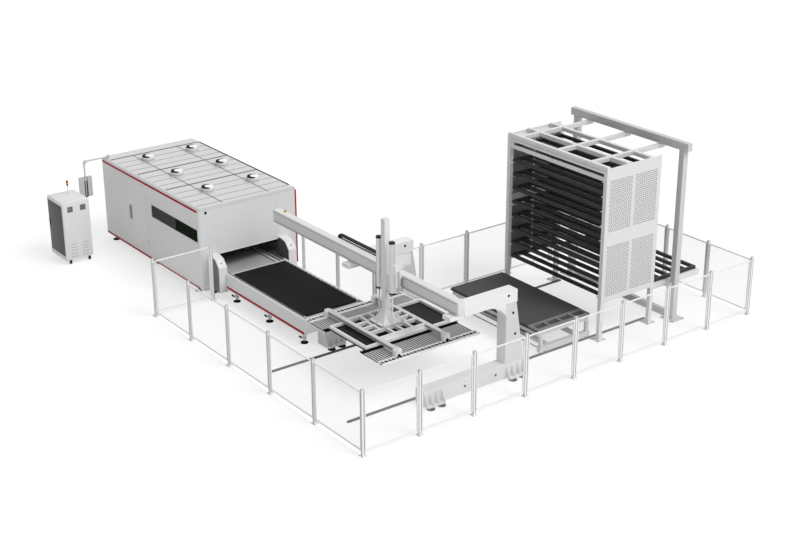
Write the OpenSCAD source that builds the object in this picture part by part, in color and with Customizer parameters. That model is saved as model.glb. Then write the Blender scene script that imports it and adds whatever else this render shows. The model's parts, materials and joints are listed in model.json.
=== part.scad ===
// Automatic sheet cutting cell: a laser cutting cabin with its exchange table, chiller cabinet and
// control panel, a beam loader with a comb gripper, a sheet cart on floor rails, a storage tower with
// its lift, and the fence round them. Millimetres, +Z up.
// Places are measured from the fence's front left corner. The module cell() then moves every piece so
// that the origin is the middle of the footprint, on the floor.

/* [Fence] */
// Height of the fence posts
fence_h = 1500; // [1200:10:2200]
// Width of a square fence post
post_w = 60; // [40:1:90]
// Distance between posts along the front
bay_front = 1441; // [1400:1:1500]
// Distance between posts along the left side
bay_left = 1733; // [1700:1:1800]
// Distance between posts along the right side
bay_right = 1385; // [1360:1:1420]
// Number of bays along the front
bays_front = 8; // [8:1:9]
// Number of bays along the left side
bays_left = 5; // [5:1:6]
// Number of bays along the right side
bays_right = 4; // [4:1:4]
// Number of bays along the back
bays_back = 5; // [5:1:5]
// Length of the short fence in front of the cabin
return_w = 1600; // [1300:10:1700]
// Open height under a fence panel
panel_lift = 100; // [50:5:200]
// Distance from the post's top to the panel's top
panel_drop = 60; // [30:5:120]
// Width of a panel's frame bar
panel_bar = 30; // [20:1:40]
// Thickness of the clear panel sheet
panel_sheet = 6; // [3:1:10]

/* [Cutting cabin] */
// Distance from the fence's left line to the cabin's left wall
cabin_left = 1470; // [1450:5:1500]
// Distance from the fence's end to the cabin's front wall
cabin_gap = 305; // [250:5:400]
// Width of the cabin
cabin_w = 2870; // [2850:10:3100]
// Length of the cabin
cabin_l = 5250; // [5200:10:5700]
// Height of the roof above the floor
cabin_top = 2350; // [2300:10:2600]
// Height of the wall's lower edge above the floor
skirt_z = 190; // [160:5:220]
// Thickness of the wall panels
wall = 50; // [30:1:60]
// Radius of the upright corners
corner_r = 60; // [40:1:80]
// Thickness of the roof
roof_t = 90; // [80:1:120]
// Width of the sheet entry
entry_w = 1810; // [1720:5:1850]
// Height of the entry's upper edge
entry_top = 1050; // [1000:5:1150]
// Length of the side window
window_l = 2420; // [2000:10:2440]
// Height of the side window
window_h = 360; // [250:5:450]
// Height of the window's lower edge
window_z = 1430; // [1350:5:1500]
// Width of the side door
door_w = 1050; // [900:10:1100]
// Height of the side door
door_h = 1820; // [1700:10:1860]
// Distance from the cabin's front to the side door
door_in = 2780; // [2700:10:2850]
// Diameter of a roof hood
hood_d = 400; // [360:5:520]

/* [Bed and bridge] */
// Height of the bed beams
bed_top = 900; // [880:5:940]
// Width of a bed beam
bed_beam = 180; // [150:5:220]
// Height of the bridge's beam
bridge_h = 250; // [200:5:300]
// Depth of the bridge's beam
bridge_d = 250; // [200:5:300]
// Distance from the cabin's rear to the parked bridge's middle
bridge_in = 900; // [800:10:1000]

/* [Exchange table] */
// Width of the table
table_w = 1740; // [1720:5:1780]
// Height of the sheet's underside on the table
table_top = 720; // [700:5:760]
// Height of the side panels' lower edge
table_z = 285; // [240:5:320]
// Length of the sheet on the table
sheet_l = 3150; // [3000:10:3200]
// Width of the sheet on the table
sheet_w = 1530; // [1480:5:1540]
// Distance between slats
slat_pitch = 75; // [60:1:100]

/* [Cabinet and control panel] */
// Width of the cabinet
cab_w = 770; // [700:5:800]
// Depth of the cabinet
cab_d = 920; // [850:5:1000]
// Height of the cabinet's body
cab_h = 1540; // [1400:10:1600]
// Radius of a cabinet roller
roller_r = 60; // [50:1:70]
// Reach of the panel's swing arm
arm_reach = 720; // [650:5:760]
// Height of the control panel's box
panel_h = 560; // [480:5:600]

/* [Loader] */
// Middle line of the table, the mast and the gripper
feed_x = 2760; // [2750:5:2780]
// Distance from the mast's axis to the beam's front face
beam_off = 370; // [360:5:400]
// Width of the beam
beam_w = 200; // [180:5:220]
// Height of the beam
beam_h = 310; // [290:5:330]
// Height of the beam's underside
beam_z = 1905; // [1880:5:1960]
// Length of the beam
beam_l = 7270; // [7200:10:7320]
// Distance from the front fence to the near frame
frame_y = 880; // [860:5:900]
// Distance between the two frames
frame_span = 3740; // [3700:10:3745]
// Width of a frame
frame_d = 300; // [280:5:320]
// Distance from the left fence to the base beams' ends
base_x = 2230; // [2200:5:2260]
// Length of a base beam
base_l = 2800; // [2780:10:2850]
// Height of a base beam
base_h = 350; // [320:5:360]
// Width of a column at its foot
column_foot = 530; // [500:5:560]
// Width of a column at its head
column_head = 290; // [260:5:320]
// Height of an arm
arm_h = 270; // [250:5:300]

/* [Gripper] */
// Distance from the front fence to the parked mast
mast_y = 2950; // [2920:5:2980]
// Width of the square mast
mast_w = 140; // [120:5:150]
// Height of the mast's top
mast_top = 3600; // [3500:10:3700]
// Height of the gripper frame's upper face
grip_z = 1160; // [1140:5:1200]
// Height of the gripper frame's bars
grip_h = 80; // [70:1:90]
// Width of the gripper frame's bars
grip_bar = 60; // [50:1:70]
// Length of the sheet that the gripper holds
held_l = 2590; // [2500:10:2595]
// Width of the sheet that the gripper holds
held_w = 1400; // [1380:5:1420]
// Distance between the two guide tubes
guide_gap = 1320; // [1250:5:1380]
// Length of a comb
comb_l = 2680; // [2600:10:2685]
// Distance between comb teeth
tooth_pitch = 65; // [45:1:75]
// Width of a comb tooth
tooth_w = 20; // [12:1:24]
// Outer diameter of a balance cylinder
cyl_d = 130; // [110:2:140]

/* [Cart] */
// Distance from the left fence to the parked cart
cart_x = 5870; // [5850:5:5900]
// Width of the cart's pallet
cart_w = 1630; // [1600:5:1650]
// Reach of the cart's pallet beyond the far floor rail's middle
cart_over = 170; // [110:10:190]
// Height of the cart's pallet top
cart_top = 650; // [630:5:680]
// Distance from the near frame to the near floor rail's middle
rail_near = 160; // [150:5:170]
// Distance from the far floor rail's middle to the far frame
rail_far = 290; // [280:5:310]
// Height of a floor rail
floor_rail_h = 35; // [30:1:45]
// Radius of a cart wheel
wheel_r = 70; // [60:1:80]

/* [Tower] */
// Distance from the left fence to the tower's front
tower_x = 7570; // [7560:5:7600]
// Depth of the tower
tower_d = 1740; // [1730:5:1760]
// Reach of the tower before the near floor rail's middle
tower_near = 260; // [250:5:270]
// Reach of the tower beyond the far floor rail's middle
tower_far = 150; // [140:5:170]
// Height of the posts
tower_h = 4170; // [4120:10:4300]
// Width of a tower post
tower_post = 100; // [90:1:110]
// Height of the lowest tray's underside
tray_z = 1075; // [1070:5:1090]
// Distance from the highest tray's underside to the posts' tops
tray_head = 271; // [265:1:300]
// Number of trays
trays = 9; // [9:1:9]
// Height of a tray's bars
tray_h = 80; // [70:1:85]
// Width of a tray's bars
tray_bar = 70; // [60:1:80]
// Depth of a tray
tray_d = 1560; // [1540:5:1570]
// Lower edge of the side panels
side_z = 950; // [900:10:990]
// Width of a hoist post
hoist_w = 150; // [140:5:160]
// Gap between the tower's back and the hoist posts
hoist_gap = 520; // [510:5:540]
// Height of the lift rails' upper face at its lowest stop
lift_z = 970; // [965:1:975]
// Length of the lift rails
lift_l = 1590; // [1570:5:1600]

/* [Hidden] */
$fn = 48;
seam = 0.4;
run = 0.3;
paint = "#e4e4e2";
grey = "#c9c9c7";
dark = "#4a4a4a";
black = "#262626";
red = "#a0181c";

fence_front = bays_front * bay_front;
fence_left = bays_left * bay_left;
fence_right = bays_right * bay_right;
bays_mid = 2;
mid_fence_x = fence_front - bays_back * bay_front;
bay_mid = (fence_left - fence_right) / bays_mid;
foot_plate = post_w + 60;
foot_t = 8;
clamp = 15;
fence_points = concat(
    [[return_w, fence_left]],
    [for (i = [0:bays_left]) [0, fence_left - i * bay_left]],
    [for (i = [1:bays_front]) [i * bay_front, 0]],
    [for (i = [1:bays_right]) [fence_front, i * bay_right]],
    [for (i = [1:bays_back]) [fence_front - i * bay_front, fence_right]],
    [for (i = [1:bays_mid]) [mid_fence_x, fence_right + i * bay_mid]]);

cab_x0 = cabin_left;
cab_x1 = cabin_left + cabin_w;
cab_y0 = fence_left + cabin_gap;
cab_y1 = cab_y0 + cabin_l;
wall_top = cabin_top - roof_t;
entry_left = 475;
entry_x0 = cab_x0 + entry_left;
entry_x1 = entry_x0 + entry_w;
window_y0 = cab_y0 + corner_r;
window_y1 = window_y0 + window_l;
door_y0 = cab_y0 + door_in;
door_y1 = door_y0 + door_w;
guard_w = 235;
guard_gap = 5;
guard_out = 490;
guard_lift = 20;
guard_over = 54;
guard_steep = 163;
guard_steep_h = 191;
guard_slant = 173;
guard_slant_h = 42;
guard_pad_in = 130;
guard_pad_out = 60;
door_z0 = skirt_z + 140;
door_gap = 4;
trim_h = 40;
trim_t = 6;
trim_end = 20;
trim_near = 40;
trim_lift = 45;
door_t = 40;
pin_r = 10;
pin_off = 12;
knuckle_h = 80;
base_inset = 30;
base_beam_w = 240;
pad_h = 60;
pad_r = 95;
pad_t = 22;
screw_r = 14;
hood_rows = 3;

bed_x0 = cab_x0 + wall + 20;
bed_x1 = cab_x1 - wall - 20;
bed_y0 = cab_y0 + wall + 60;
bed_y1 = cab_y1 - wall - 60;
guide_w = 40;
guide_h = 30;
bridge_y = cab_y1 - bridge_in;
bridge_z0 = bed_top + guide_h + run + 70;
head_x = feed_x;
carriage_w = 320;
carriage_d = 110;
head_r = 55;
head_off = 10;
head_low = 100;
head_over = 220;
nozzle_h = 60;
nozzle_r0 = 12;
nozzle_r1 = 34;
carriage_low = 20;
carriage_over = 120;
bridge_shoe_w = 160;
bridge_shoe_l = 400;
strip_t = 20;
strip_h = 30;
strip_in = 40;

table_x0 = feed_x - table_w / 2;
table_x1 = feed_x + table_w / 2;
table_y1 = cab_y0 - guard_out - guard_gap;
table_y0 = frame_y + frame_span + frame_d;
table_l = table_y1 - table_y0;
side_t = 50;
leg_in = 140;
leg_near = 270;
leg_far = 245;
leg_step = (table_l - leg_near - leg_far) / 2;
leg_w = 200;
leg_d = 100;
leg_h = 60;
tie_near = 600;
tie_far = 575;
tie_w = 100;
tie_h = 160;
pallet_side = 40;
pallet_x0 = table_x0 + side_t + pallet_side;
pallet_x1 = table_x1 - side_t - pallet_side;
pallet_y0 = table_y0 + side_t + pallet_side;
pallet_l = 3380;
pallet_h = 110;
pallet_bar = 50;
pallet_z = table_top - pallet_h - 15;
slat_t = 4;
sheet_t = 4;
track_w = 60;
track_h = 60;

cabinet_left = 1780;
cabinet_back = 1220;
cabinet_x = cab_x0 - cabinet_left;
cabinet_y = cab_y1 - cabinet_back;
cabinet_z = 2 * roller_r + 70;
cabinet_top = cabinet_z + cab_h;
cabinet_door_t = 20;
cabinet_door_in = 25;
axle_r = 12;
arm_x = cab_x0 + 90;
arm_y = cab_y1 - 260;
arm_tube = 60;
arm_z = cabin_top + 60;
arm_hub_r = 50;
drop_h = 400;

beam_x0 = feed_x + beam_off;
beam_x1 = beam_x0 + beam_w;
frames = [frame_y, frame_y + frame_span];
arm_z0 = beam_z - 65;
arm_x1 = base_x + base_l - (column_foot - column_head);
shelf_x = beam_x0 - 190;
base_shim = 30;
base_top = base_shim + base_h;
column_x1 = base_x + base_l;
column_x0 = column_x1 - column_foot;
flange_t = 20;
haunch_l = 570;
haunch_h = 300;
haunch_in = 4;
arch_r = (haunch_l * haunch_l + haunch_h * haunch_h) / (2 * haunch_h);
rib_t = 15;
bracket_w = 490;
bracket_d = 160;
bracket_z = 45;
guide_in = 30;

carr_plate = 30;
carr_w = 280;
guide_t = 25;
sleeve_half = mast_w / 2 + 25;
saddle_w = 60;
saddle_h = 80;
bracket_t = 14;
bracket_gap = 16;
bracket_h = 270;
bracket_cut = 40;
carr_x1 = beam_x0 - 60;
carr_x0 = carr_x1 - carr_plate;
carr_z0 = beam_z + 10;
carr_z1 = beam_z + beam_h + 100;
cyl_y = 240;
cyl_z0 = beam_z - 15;
cyl_z1 = cyl_z0 + 1235;
cyl_wall = 16;
cap_h = 35;
rod_r = 22;
rod_top = cyl_z0 + 560;
plate_t = 20;
mast_foot = grip_z + plate_t;
plate_half = 290;
cone_half = 210;
cone_h = 250;
slew_r = 200;
grip_x0 = -1060;
grip_x1 = 1490;
guide_half = guide_gap / 2;
guide_tube = 100;
guide_l = 2760;
cup_h = 20;
cup_r = 45;
ring_h = 60;
ring_z1 = grip_z - grip_h;
held_z1 = ring_z1 - ring_h - cup_h;
held_x0 = -1075;
comb_x0 = -1160;
comb_y = 1320;
comb_bar = 80;
comb_z1 = held_z1 - sheet_t - 4;
comb_h = 40;
tooth_h = 34;
tooth_low = 3;
shoe_leg = 24;
tooth_in = 620;
shoe_w = 30;
shoe_l = 120;

pallet_t = 60;
deck_h = 120;
deck_z1 = cart_top - pallet_t;
bogie_h = 140;
chain_w = 90;
chain_t = 45;
chain_r = 35;
chain_near = 420;
chain_far = 2650;
chain_out = 40;
trough_t = 12;
trough_lip = 10;

rail_w = 60;
wheel_z = floor_rail_h + wheel_r;
wheel_w = 50;
bogie_z0 = wheel_z - 20;
wheel_in = 180;
rail_y = frame_y + frame_d + rail_near;
rail_gauge = frame_span - frame_d - rail_near - rail_far;
cart_y = rail_y;
cart_l = rail_gauge + cart_over;
cart_sheet_x = 210;
cart_sheet_y = 350;
rail_x0 = 560;
rail_x1 = tower_x + tower_d + 40;

tower_x1 = tower_x + tower_d;
hoist_x = tower_x1 + hoist_gap;
tower_y = rail_y - tower_near;
tower_w = tower_near + rail_gauge + tower_far;
tower_y1 = tower_y + tower_w;
tray_pitch = (tower_h - tray_z - tray_head) / (trays - 1);
side_t2 = 8;
top_bar = 100;
plate_w = 260;
plate_in = 20;
plate_out = tower_post / 2 + rail_y + rail_gauge + rail_w / 2 + plate_w / 2 - tower_y1;
anchor_r = 9;
shelf_w = 60;
shelf_h = 20;
tray_x = tower_x + 80;
tray_y0 = tower_y + tower_post + 25;
tray_y1 = tower_y1 - tower_post - 25;
tray_rails_n = 4;
hoist_y = [tower_y - 50 - hoist_w, tower_y1 - 40];
hoist_plate = 420;
hoist_beam_h = 190;
lift_x = tower_x1 + 70;
lift_rail_w = 100;
lift_rail_h = 150;
lift_tray_x = lift_x - 30;

mid_x = (cabinet_x - cabinet_door_t + fence_front + foot_plate / 2) / 2;
mid_y = (cab_y1 - foot_plate / 2) / 2;

// Moves a piece from the fence's corner to the middle of the footprint
module cell() translate([-mid_x, -mid_y, 0]) children();

// Box between two corners
module box(lo, hi) translate(lo) cube(hi - lo);

// Flat plate of a polygon in the YZ plane, from x0 along +X
module plate_yz(x0, t, points)
    translate([x0, 0, 0]) rotate([90, 0, 90]) linear_extrude(t) polygon(points);

// Flat plate of a polygon in the XZ plane, from y0 along +Y
module plate_xz(y0, t, points)
    translate([0, y0 + t, 0]) rotate([90, 0, 0]) linear_extrude(t) polygon(points);

// Rectangle with round corners, from the origin
module round_rect(w, l, r) {
    translate([r, 0]) square([w - 2 * r, l]);
    translate([0, r]) square([w, l - 2 * r]);
    for (x = [r, w - r], y = [r, l - r]) translate([x, y]) circle(r);
}

// Runs along a fence panel, from one post's middle to the next
module along(p, q) translate([p[0], p[1], 0]) rotate([0, 0, atan2(q[1] - p[1], q[0] - p[0])]) children();

// Hinge knuckle on an upright pin, with a leaf that reaches to the face beside it
module knuckle(x, y, z, reach) {
    translate([x, y, z]) cylinder(r = pin_r, h = knuckle_h);
    box([x, min(y, y + reach), z], [x + pin_off, max(y, y + reach), z + knuckle_h]);
}

// Rectangular frame with long bars across it, lying flat
module ladder(w, l, h, bar, n, end_bar) {
    for (x = [0, w - bar]) box([x, 0, 0], [x + bar, l, h]);
    for (y = [0, l - bar]) box([0, y, 0], [w, y + bar, h]);
    for (i = [1:n]) translate([i * (w - bar) / (n + 1), 0, 0]) cube([bar, l, h]);
    if (end_bar > 0) for (y = [end_bar, l - end_bar - bar]) box([0, y, 0], [w, y + bar, h]);
}

module fence_posts() color(paint) cell() {
    last = len(fence_points) - 1;
    for (p = fence_points) translate([p[0], p[1], 0]) {
        translate([-post_w / 2, -post_w / 2, 0]) cube([post_w, post_w, fence_h]);
        translate([-foot_plate / 2, -foot_plate / 2, 0]) cube([foot_plate, foot_plate, foot_t]);
    }
    for (i = [0:last - 1]) along(fence_points[i], fence_points[i + 1]) {
        span = norm(fence_points[i + 1] - fence_points[i]);
        for (z = [fence_h * 0.25, fence_h * 0.75], x = [post_w / 2, span - post_w / 2 - clamp])
            box([x, -panel_bar / 2, z], [x + clamp, panel_bar / 2, z + 40]);
    }
}

module fence_frames() color(paint) cell()
    for (i = [0:len(fence_points) - 2]) along(fence_points[i], fence_points[i + 1]) {
        x0 = post_w / 2 + clamp;
        x1 = norm(fence_points[i + 1] - fence_points[i]) - x0;
        z1 = fence_h - panel_drop;
        for (x = [x0, x1 - panel_bar])
            box([x, -panel_bar / 2, panel_lift], [x + panel_bar, panel_bar / 2, z1]);
        for (z = [panel_lift, z1 - panel_bar])
            box([x0 + panel_bar + seam, -panel_bar / 2, z],
                [x1 - panel_bar - seam, panel_bar / 2, z + panel_bar]);
    }

module fence_sheets() color("#eef2f4", 0.3) cell()
    for (i = [0:len(fence_points) - 2]) along(fence_points[i], fence_points[i + 1]) {
        x0 = post_w / 2 + clamp + panel_bar;
        x1 = norm(fence_points[i + 1] - fence_points[i]) - x0;
        box([x0, -panel_sheet / 2, panel_lift + panel_bar],
            [x1, panel_sheet / 2, fence_h - panel_drop - panel_bar]);
    }

// Base ring, bed beams, pallet tracks and the beams that carry them
module cabin_base() color(grey) cell() {
    in_y0 = cab_y0 + base_inset;
    in_y1 = cab_y1 - base_inset;
    for (x = [cab_x0 + base_inset, cab_x1 - base_inset - base_beam_w])
        box([x, in_y0, pad_h], [x + base_beam_w, in_y1, skirt_z]);
    for (y = [in_y0, in_y1 - base_beam_w])
        box([cab_x0 + base_inset + base_beam_w + seam, y, pad_h],
            [cab_x1 - base_inset - base_beam_w - seam, y + base_beam_w, skirt_z]);
    for (x = [bed_x0, bed_x1 - bed_beam]) box([x, bed_y0, skirt_z + seam], [x + bed_beam, bed_y1, bed_top]);
    for (y = [bed_y0 + 300, bed_y1 - 450])
        box([bed_x0 + bed_beam + seam, y, pallet_z - track_h - 160],
            [bed_x1 - bed_beam - seam, y + 150, pallet_z - track_h - seam]);
    for (x = [pallet_x0, pallet_x1 - track_w])
        box([x, bed_y0, pallet_z - track_h], [x + track_w, bed_y1, pallet_z]);
    box([bed_x0 + bed_beam + seam, bed_y0, skirt_z + seam],
        [bed_x1 - bed_beam - seam, bed_y1, skirt_z + 30]);
}

// Wall panels round the cabin, joined at hairline seams
module cabin_walls() color(paint) cell() {
    for (z = [door_z0 + 250, door_z0 + door_h - 330])
        knuckle(cab_x0 - pin_off, door_y0, z - knuckle_h - run, -60);
    difference() {
        translate([cab_x0, cab_y0, skirt_z]) linear_extrude(wall_top - skirt_z - seam)
            round_rect(cabin_w, cabin_l, corner_r);
        box([cab_x0 + wall, cab_y0 + wall, 0], [cab_x1 - wall, cab_y1 - wall, cabin_top]);
        box([entry_x0, cab_y0 - wall, 0], [entry_x1, cab_y0 + 2 * wall, entry_top]);
        box([cab_x0 - wall, window_y0, window_z], [cab_x0 + 2 * wall, window_y1, window_z + window_h]);
        box([cab_x0 - wall, door_y0, door_z0], [cab_x0 + 2 * wall, door_y1, door_z0 + door_h]);
        for (x = [cab_x0 + corner_r, cab_x1 - corner_r], y = [cab_y0 - wall, cab_y1 - wall])
            box([x, y, 0], [x + seam, y + 2 * wall, cabin_top]);
        for (x = [entry_x0, entry_x1 - seam])
            box([x, cab_y0 - wall, entry_top], [x + seam, cab_y0 + 2 * wall, cabin_top]);
        for (y = [window_y0, window_y1, door_y0, door_y1])
            box([cab_x0 - wall, y - seam, 0], [cab_x0 + 2 * wall, y, cabin_top]);
        for (y = [cab_y0 + corner_r, cab_y1 - corner_r])
            box([cab_x1 - 2 * wall, y, 0], [cab_x1 + wall, y + seam, cabin_top]);
        box([cab_x0 - wall, cab_y1 - corner_r, 0], [cab_x0 + 2 * wall, cab_y1 - corner_r + seam, cabin_top]);
    }
}

// Roof with rounded long edges, panel seams and ribs between them
module cabin_roof() color(paint) cell() {
    edge = roof_t - 10;
    bays = 3;
    ribs = 3;
    first = cab_y0 + 220;
    bay = (cabin_l - 640) / bays;
    cuts = [0.26, 0.73];
    fields = [[edge, cuts[0] * cabin_w - 8], [cuts[0] * cabin_w + 22, cuts[1] * cabin_w - 8],
        [cuts[1] * cabin_w + 22, cabin_w - edge]];
    difference() {
        intersection() {
            translate([cab_x0, cab_y0, wall_top]) linear_extrude(roof_t)
                round_rect(cabin_w, cabin_l, corner_r);
            translate([cab_x0, cab_y1, cabin_top - 4 * edge]) rotate([90, 0, 0]) linear_extrude(cabin_l)
                round_rect(cabin_w, 4 * edge, edge);
        }
        for (i = [0:bays]) translate([cab_x0 + edge, first + i * bay, cabin_top - 6])
            cube([cabin_w - 2 * edge, 14, 12]);
        for (c = cuts) translate([cab_x0 + c * cabin_w, cab_y0 + 100, cabin_top - 6])
            cube([14, cabin_l - 520, 12]);
    }
    for (i = [0:bays - 1], k = [1:ribs], f = fields)
        translate([cab_x0 + f[0], first + (i + k / (ribs + 1)) * bay, cabin_top - 1])
            cube([f[1] - f[0], 30, 7]);
    translate([arm_x, arm_y, cabin_top - 1])
        cylinder(r = arm_hub_r, h = arm_z - arm_tube / 2 - run - cabin_top + 1);
}

// Round extraction hoods on the roof
module roof_hoods() color(grey) cell()
    for (s = [0.31, 0.78], k = [0:hood_rows - 1])
        translate([cab_x0 + s * cabin_w, cab_y0 + cabin_l * (0.2 + 0.303 * k), cabin_top + 6])
            rotate_extrude() polygon([[0, 0], [hood_d / 2, 0], [hood_d / 2, 25], [hood_d * 0.4, 45],
                [hood_d * 0.36, 100], [hood_d * 0.42, 105], [hood_d * 0.42, 125], [hood_d * 0.3, 150],
                [hood_d * 0.12, 160], [0, 160]]);

// Red strips along the cabin's left side, down its front and along the table
module red_trim() color(red) cell() {
    for (z = [skirt_z + 5, wall_top - trim_h / 2])
        box([cab_x0 - trim_t, cab_y0 + corner_r, z], [cab_x0, cab_y1 - corner_r, z + trim_h]);
    box([cab_x1 - corner_r - trim_h, cab_y0 - trim_t, skirt_z + 90], [cab_x1 - corner_r, cab_y0, wall_top]);
    box([table_x0 - trim_t, table_y0 + trim_near, table_z + trim_lift],
        [table_x0, table_y1 - trim_end, table_z + trim_lift + trim_h]);
}

module side_windows() color("#23282a") cell() {
    split = window_y0 + window_l * 0.465;
    for (y = [[window_y0, split - seam], [split, window_y1 - seam]])
        box([cab_x0 + 8, y[0], window_z], [cab_x0 + 16, y[1], window_z + window_h]);
}

// Guards beside the sheet entry, with bevelled fronts
module entry_guards() color(paint) cell()
    for (x = [entry_x0 - guard_gap - guard_w, entry_x1 + guard_gap]) {
        front = cab_y0 - guard_out;
        foot = skirt_z + guard_lift;
        top = entry_top + guard_over;
        shoulder = top - guard_slant_h;
        plate_yz(x, guard_w, [[front, foot], [front, shoulder - guard_steep_h],
            [front + guard_steep, shoulder], [front + guard_steep + guard_slant, top],
            [cab_y0, top], [cab_y0, foot]]);
    }

// Linear guides on the bed beams and on the loader's beam
module linear_guides() color("#8d8f92") cell() {
    for (x = [bed_x0 + bed_beam / 2, bed_x1 - bed_beam / 2])
        box([x - guide_w / 2, bed_y0, bed_top], [x + guide_w / 2, bed_y1, bed_top + guide_h]);
    for (z = [beam_z + guide_in, beam_z + beam_h - guide_in])
        box([beam_x0 - guide_t, frame_y + 40, z - 15], [beam_x0, frame_y + beam_l - 40, z + 15]);
}

module levelling_pad(x, y, top) translate([x, y, 0]) {
    cylinder(r = pad_r, h = pad_t);
    translate([0, 0, pad_t - 1]) cylinder(r = screw_r, h = top - pad_t + 1);
}

// Round levelling feet under the cabin, the guards, the table and the loader
module levelling_feet() color(black) cell() {
    for (x = [cab_x0 + 150, cab_x1 - 150], k = [0:2])
        levelling_pad(x, cab_y0 + 450 + k * (cabin_l - 700) / 2, pad_h);
    for (x = [entry_x0 - guard_pad_out, entry_x1 + guard_pad_out])
        levelling_pad(x, cab_y0 + guard_pad_in, pad_h);
    for (x = [table_x0 + leg_in, table_x1 - leg_in], k = [0:2])
        levelling_pad(x, table_y0 + leg_near + k * leg_step, table_z);
    for (y = frames, x = [base_x, column_x1 - bracket_w], dx = [100, bracket_w - 100])
        levelling_pad(x + dx, y - bracket_d + 40, bracket_z);
}

module side_door() color(paint) cell() {
    difference() {
        box([cab_x0, door_y0 + door_gap, door_z0 + door_gap],
            [cab_x0 + door_t, door_y1 - door_gap, door_z0 + door_h - door_gap]);
        translate([cab_x0 - 1, door_y1 - 220, door_z0 + 700]) cube([6, 120, 400]);
    }
    for (z = [door_z0 + 250, door_z0 + door_h - 330])
        knuckle(cab_x0 - pin_off, door_y0, z, 60);
    for (z = [door_z0 + 735, door_z0 + 1035])
        translate([cab_x0 - 50, door_y1 - 130, z]) rotate([0, 90, 0]) cylinder(r = 9, h = 60);
    translate([cab_x0 - 50, door_y1 - 130, door_z0 + 710]) cylinder(r = 11, h = 350);
}

// Cross beam that rides on the bed guides
module bridge() color(grey) cell() {
    half_w = bridge_shoe_w / 2;
    half_l = bridge_shoe_l / 2;
    for (x = [bed_x0 + bed_beam / 2, bed_x1 - bed_beam / 2])
        box([x - half_w, bridge_y - half_l, bed_top + guide_h + run],
            [x + half_w, bridge_y + half_l, bridge_z0 - seam]);
    box([bed_x0 + bed_beam / 2 - half_w, bridge_y - bridge_d / 2, bridge_z0],
        [bed_x1 - bed_beam / 2 + half_w, bridge_y + bridge_d / 2, bridge_z0 + bridge_h]);
    for (z = [bridge_z0 + strip_in, bridge_z0 + bridge_h - strip_in - strip_h])
        box([bed_x0 + bed_beam, bridge_y - bridge_d / 2 - strip_t, z],
            [bed_x1 - bed_beam, bridge_y - bridge_d / 2, z + strip_h]);
}

module bridge_carriage() color(paint) cell() {
    face = bridge_y - bridge_d / 2 - strip_t - run;
    difference() {
        box([head_x - carriage_w / 2, face - carriage_d, bridge_z0 - carriage_low],
            [head_x + carriage_w / 2, face, bridge_z0 + bridge_h + carriage_over]);
        translate([head_x, face - carriage_d / 2 - head_off, 0]) cylinder(r = head_r + run, h = cabin_top);
    }
}

// Cutting head with its nozzle, in the carriage's bore
module cutting_head() color("#b9bcbf") cell()
    translate([head_x, bridge_y - bridge_d / 2 - strip_t - run - carriage_d / 2 - head_off, 0]) {
        translate([0, 0, bridge_z0 - head_low]) cylinder(r = head_r, h = bridge_h + head_low + head_over);
        translate([0, 0, bridge_z0 - head_low - nozzle_h])
            cylinder(r1 = nozzle_r0, r2 = nozzle_r1, h = nozzle_h + 1);
    }

// Table with bevelled side panels, end panels, pallet tracks and legs
module table_frame() color(paint) cell() {
    rim = 30;
    for (s = [[table_x0, 1], [table_x1, -1]]) plate_xz(table_y0, table_l,
        [[s[0], table_z], [s[0] + s[1] * side_t, table_z], [s[0] + s[1] * side_t, table_top - 5],
         [s[0] + s[1] * rim, table_top - 5], [s[0], table_top - 5 - rim]]);
    box([table_x0 + side_t + seam, table_y0, table_z + 60],
        [table_x1 - side_t - seam, table_y0 + side_t, table_top - 5]);
    for (y = [table_y0 + tie_near, table_y1 - tie_far])
        box([table_x0 + side_t + seam, y, pallet_z - track_h - tie_h],
            [table_x1 - side_t - seam, y + tie_w, pallet_z - track_h - seam]);
    for (x = [pallet_x0, pallet_x1 - track_w])
        box([x, table_y0 + side_t + seam, pallet_z - track_h], [x + track_w, bed_y0 - seam, pallet_z]);
    for (x = [table_x0 + leg_in, table_x1 - leg_in], k = [0:2])
        translate([x - leg_w / 2, table_y0 + leg_near + k * leg_step - leg_d / 2, table_z])
            cube([leg_w, leg_d, leg_h]);
}

module pallet_frame() color(grey) cell() {
    for (x = [pallet_x0, pallet_x1 - pallet_bar])
        box([x, pallet_y0, pallet_z], [x + pallet_bar, pallet_y0 + pallet_l, pallet_z + pallet_h]);
    for (y = [pallet_y0, pallet_y0 + pallet_l - pallet_bar])
        box([pallet_x0, y, pallet_z], [pallet_x1, y + pallet_bar, pallet_z + pallet_h]);
    for (k = [1:3]) translate([pallet_x0, pallet_y0 + k * pallet_l / 4, pallet_z])
        cube([pallet_x1 - pallet_x0, pallet_bar, 50]);
}

// Toothed slats across the pallet
module pallet_slats() color(dark) cell() {
    tooth = 60;
    w = pallet_x1 - pallet_x0 - 2 * pallet_bar;
    n = floor(w / tooth);
    z0 = pallet_z + 50;
    valley = table_top - 35;
    count = floor((pallet_l - 2 * pallet_bar - 40) / slat_pitch);
    for (i = [0:count - 1])
        plate_xz(pallet_y0 + pallet_bar + 40 + i * slat_pitch, slat_t, concat(
            [[pallet_x1 - pallet_bar, z0], [pallet_x0 + pallet_bar, z0], [pallet_x0 + pallet_bar, valley]],
            [for (k = [0:n - 1], s = [0, 1]) [pallet_x0 + pallet_bar + (k + 0.5 + s / 2) * w / n,
                s == 0 ? table_top : valley]]));
}

module table_sheet() color(black) cell() translate([feed_x - sheet_w / 2,
    pallet_y0 + (pallet_l - sheet_l) / 2, table_top]) cube([sheet_w, sheet_l, sheet_t]);

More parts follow.
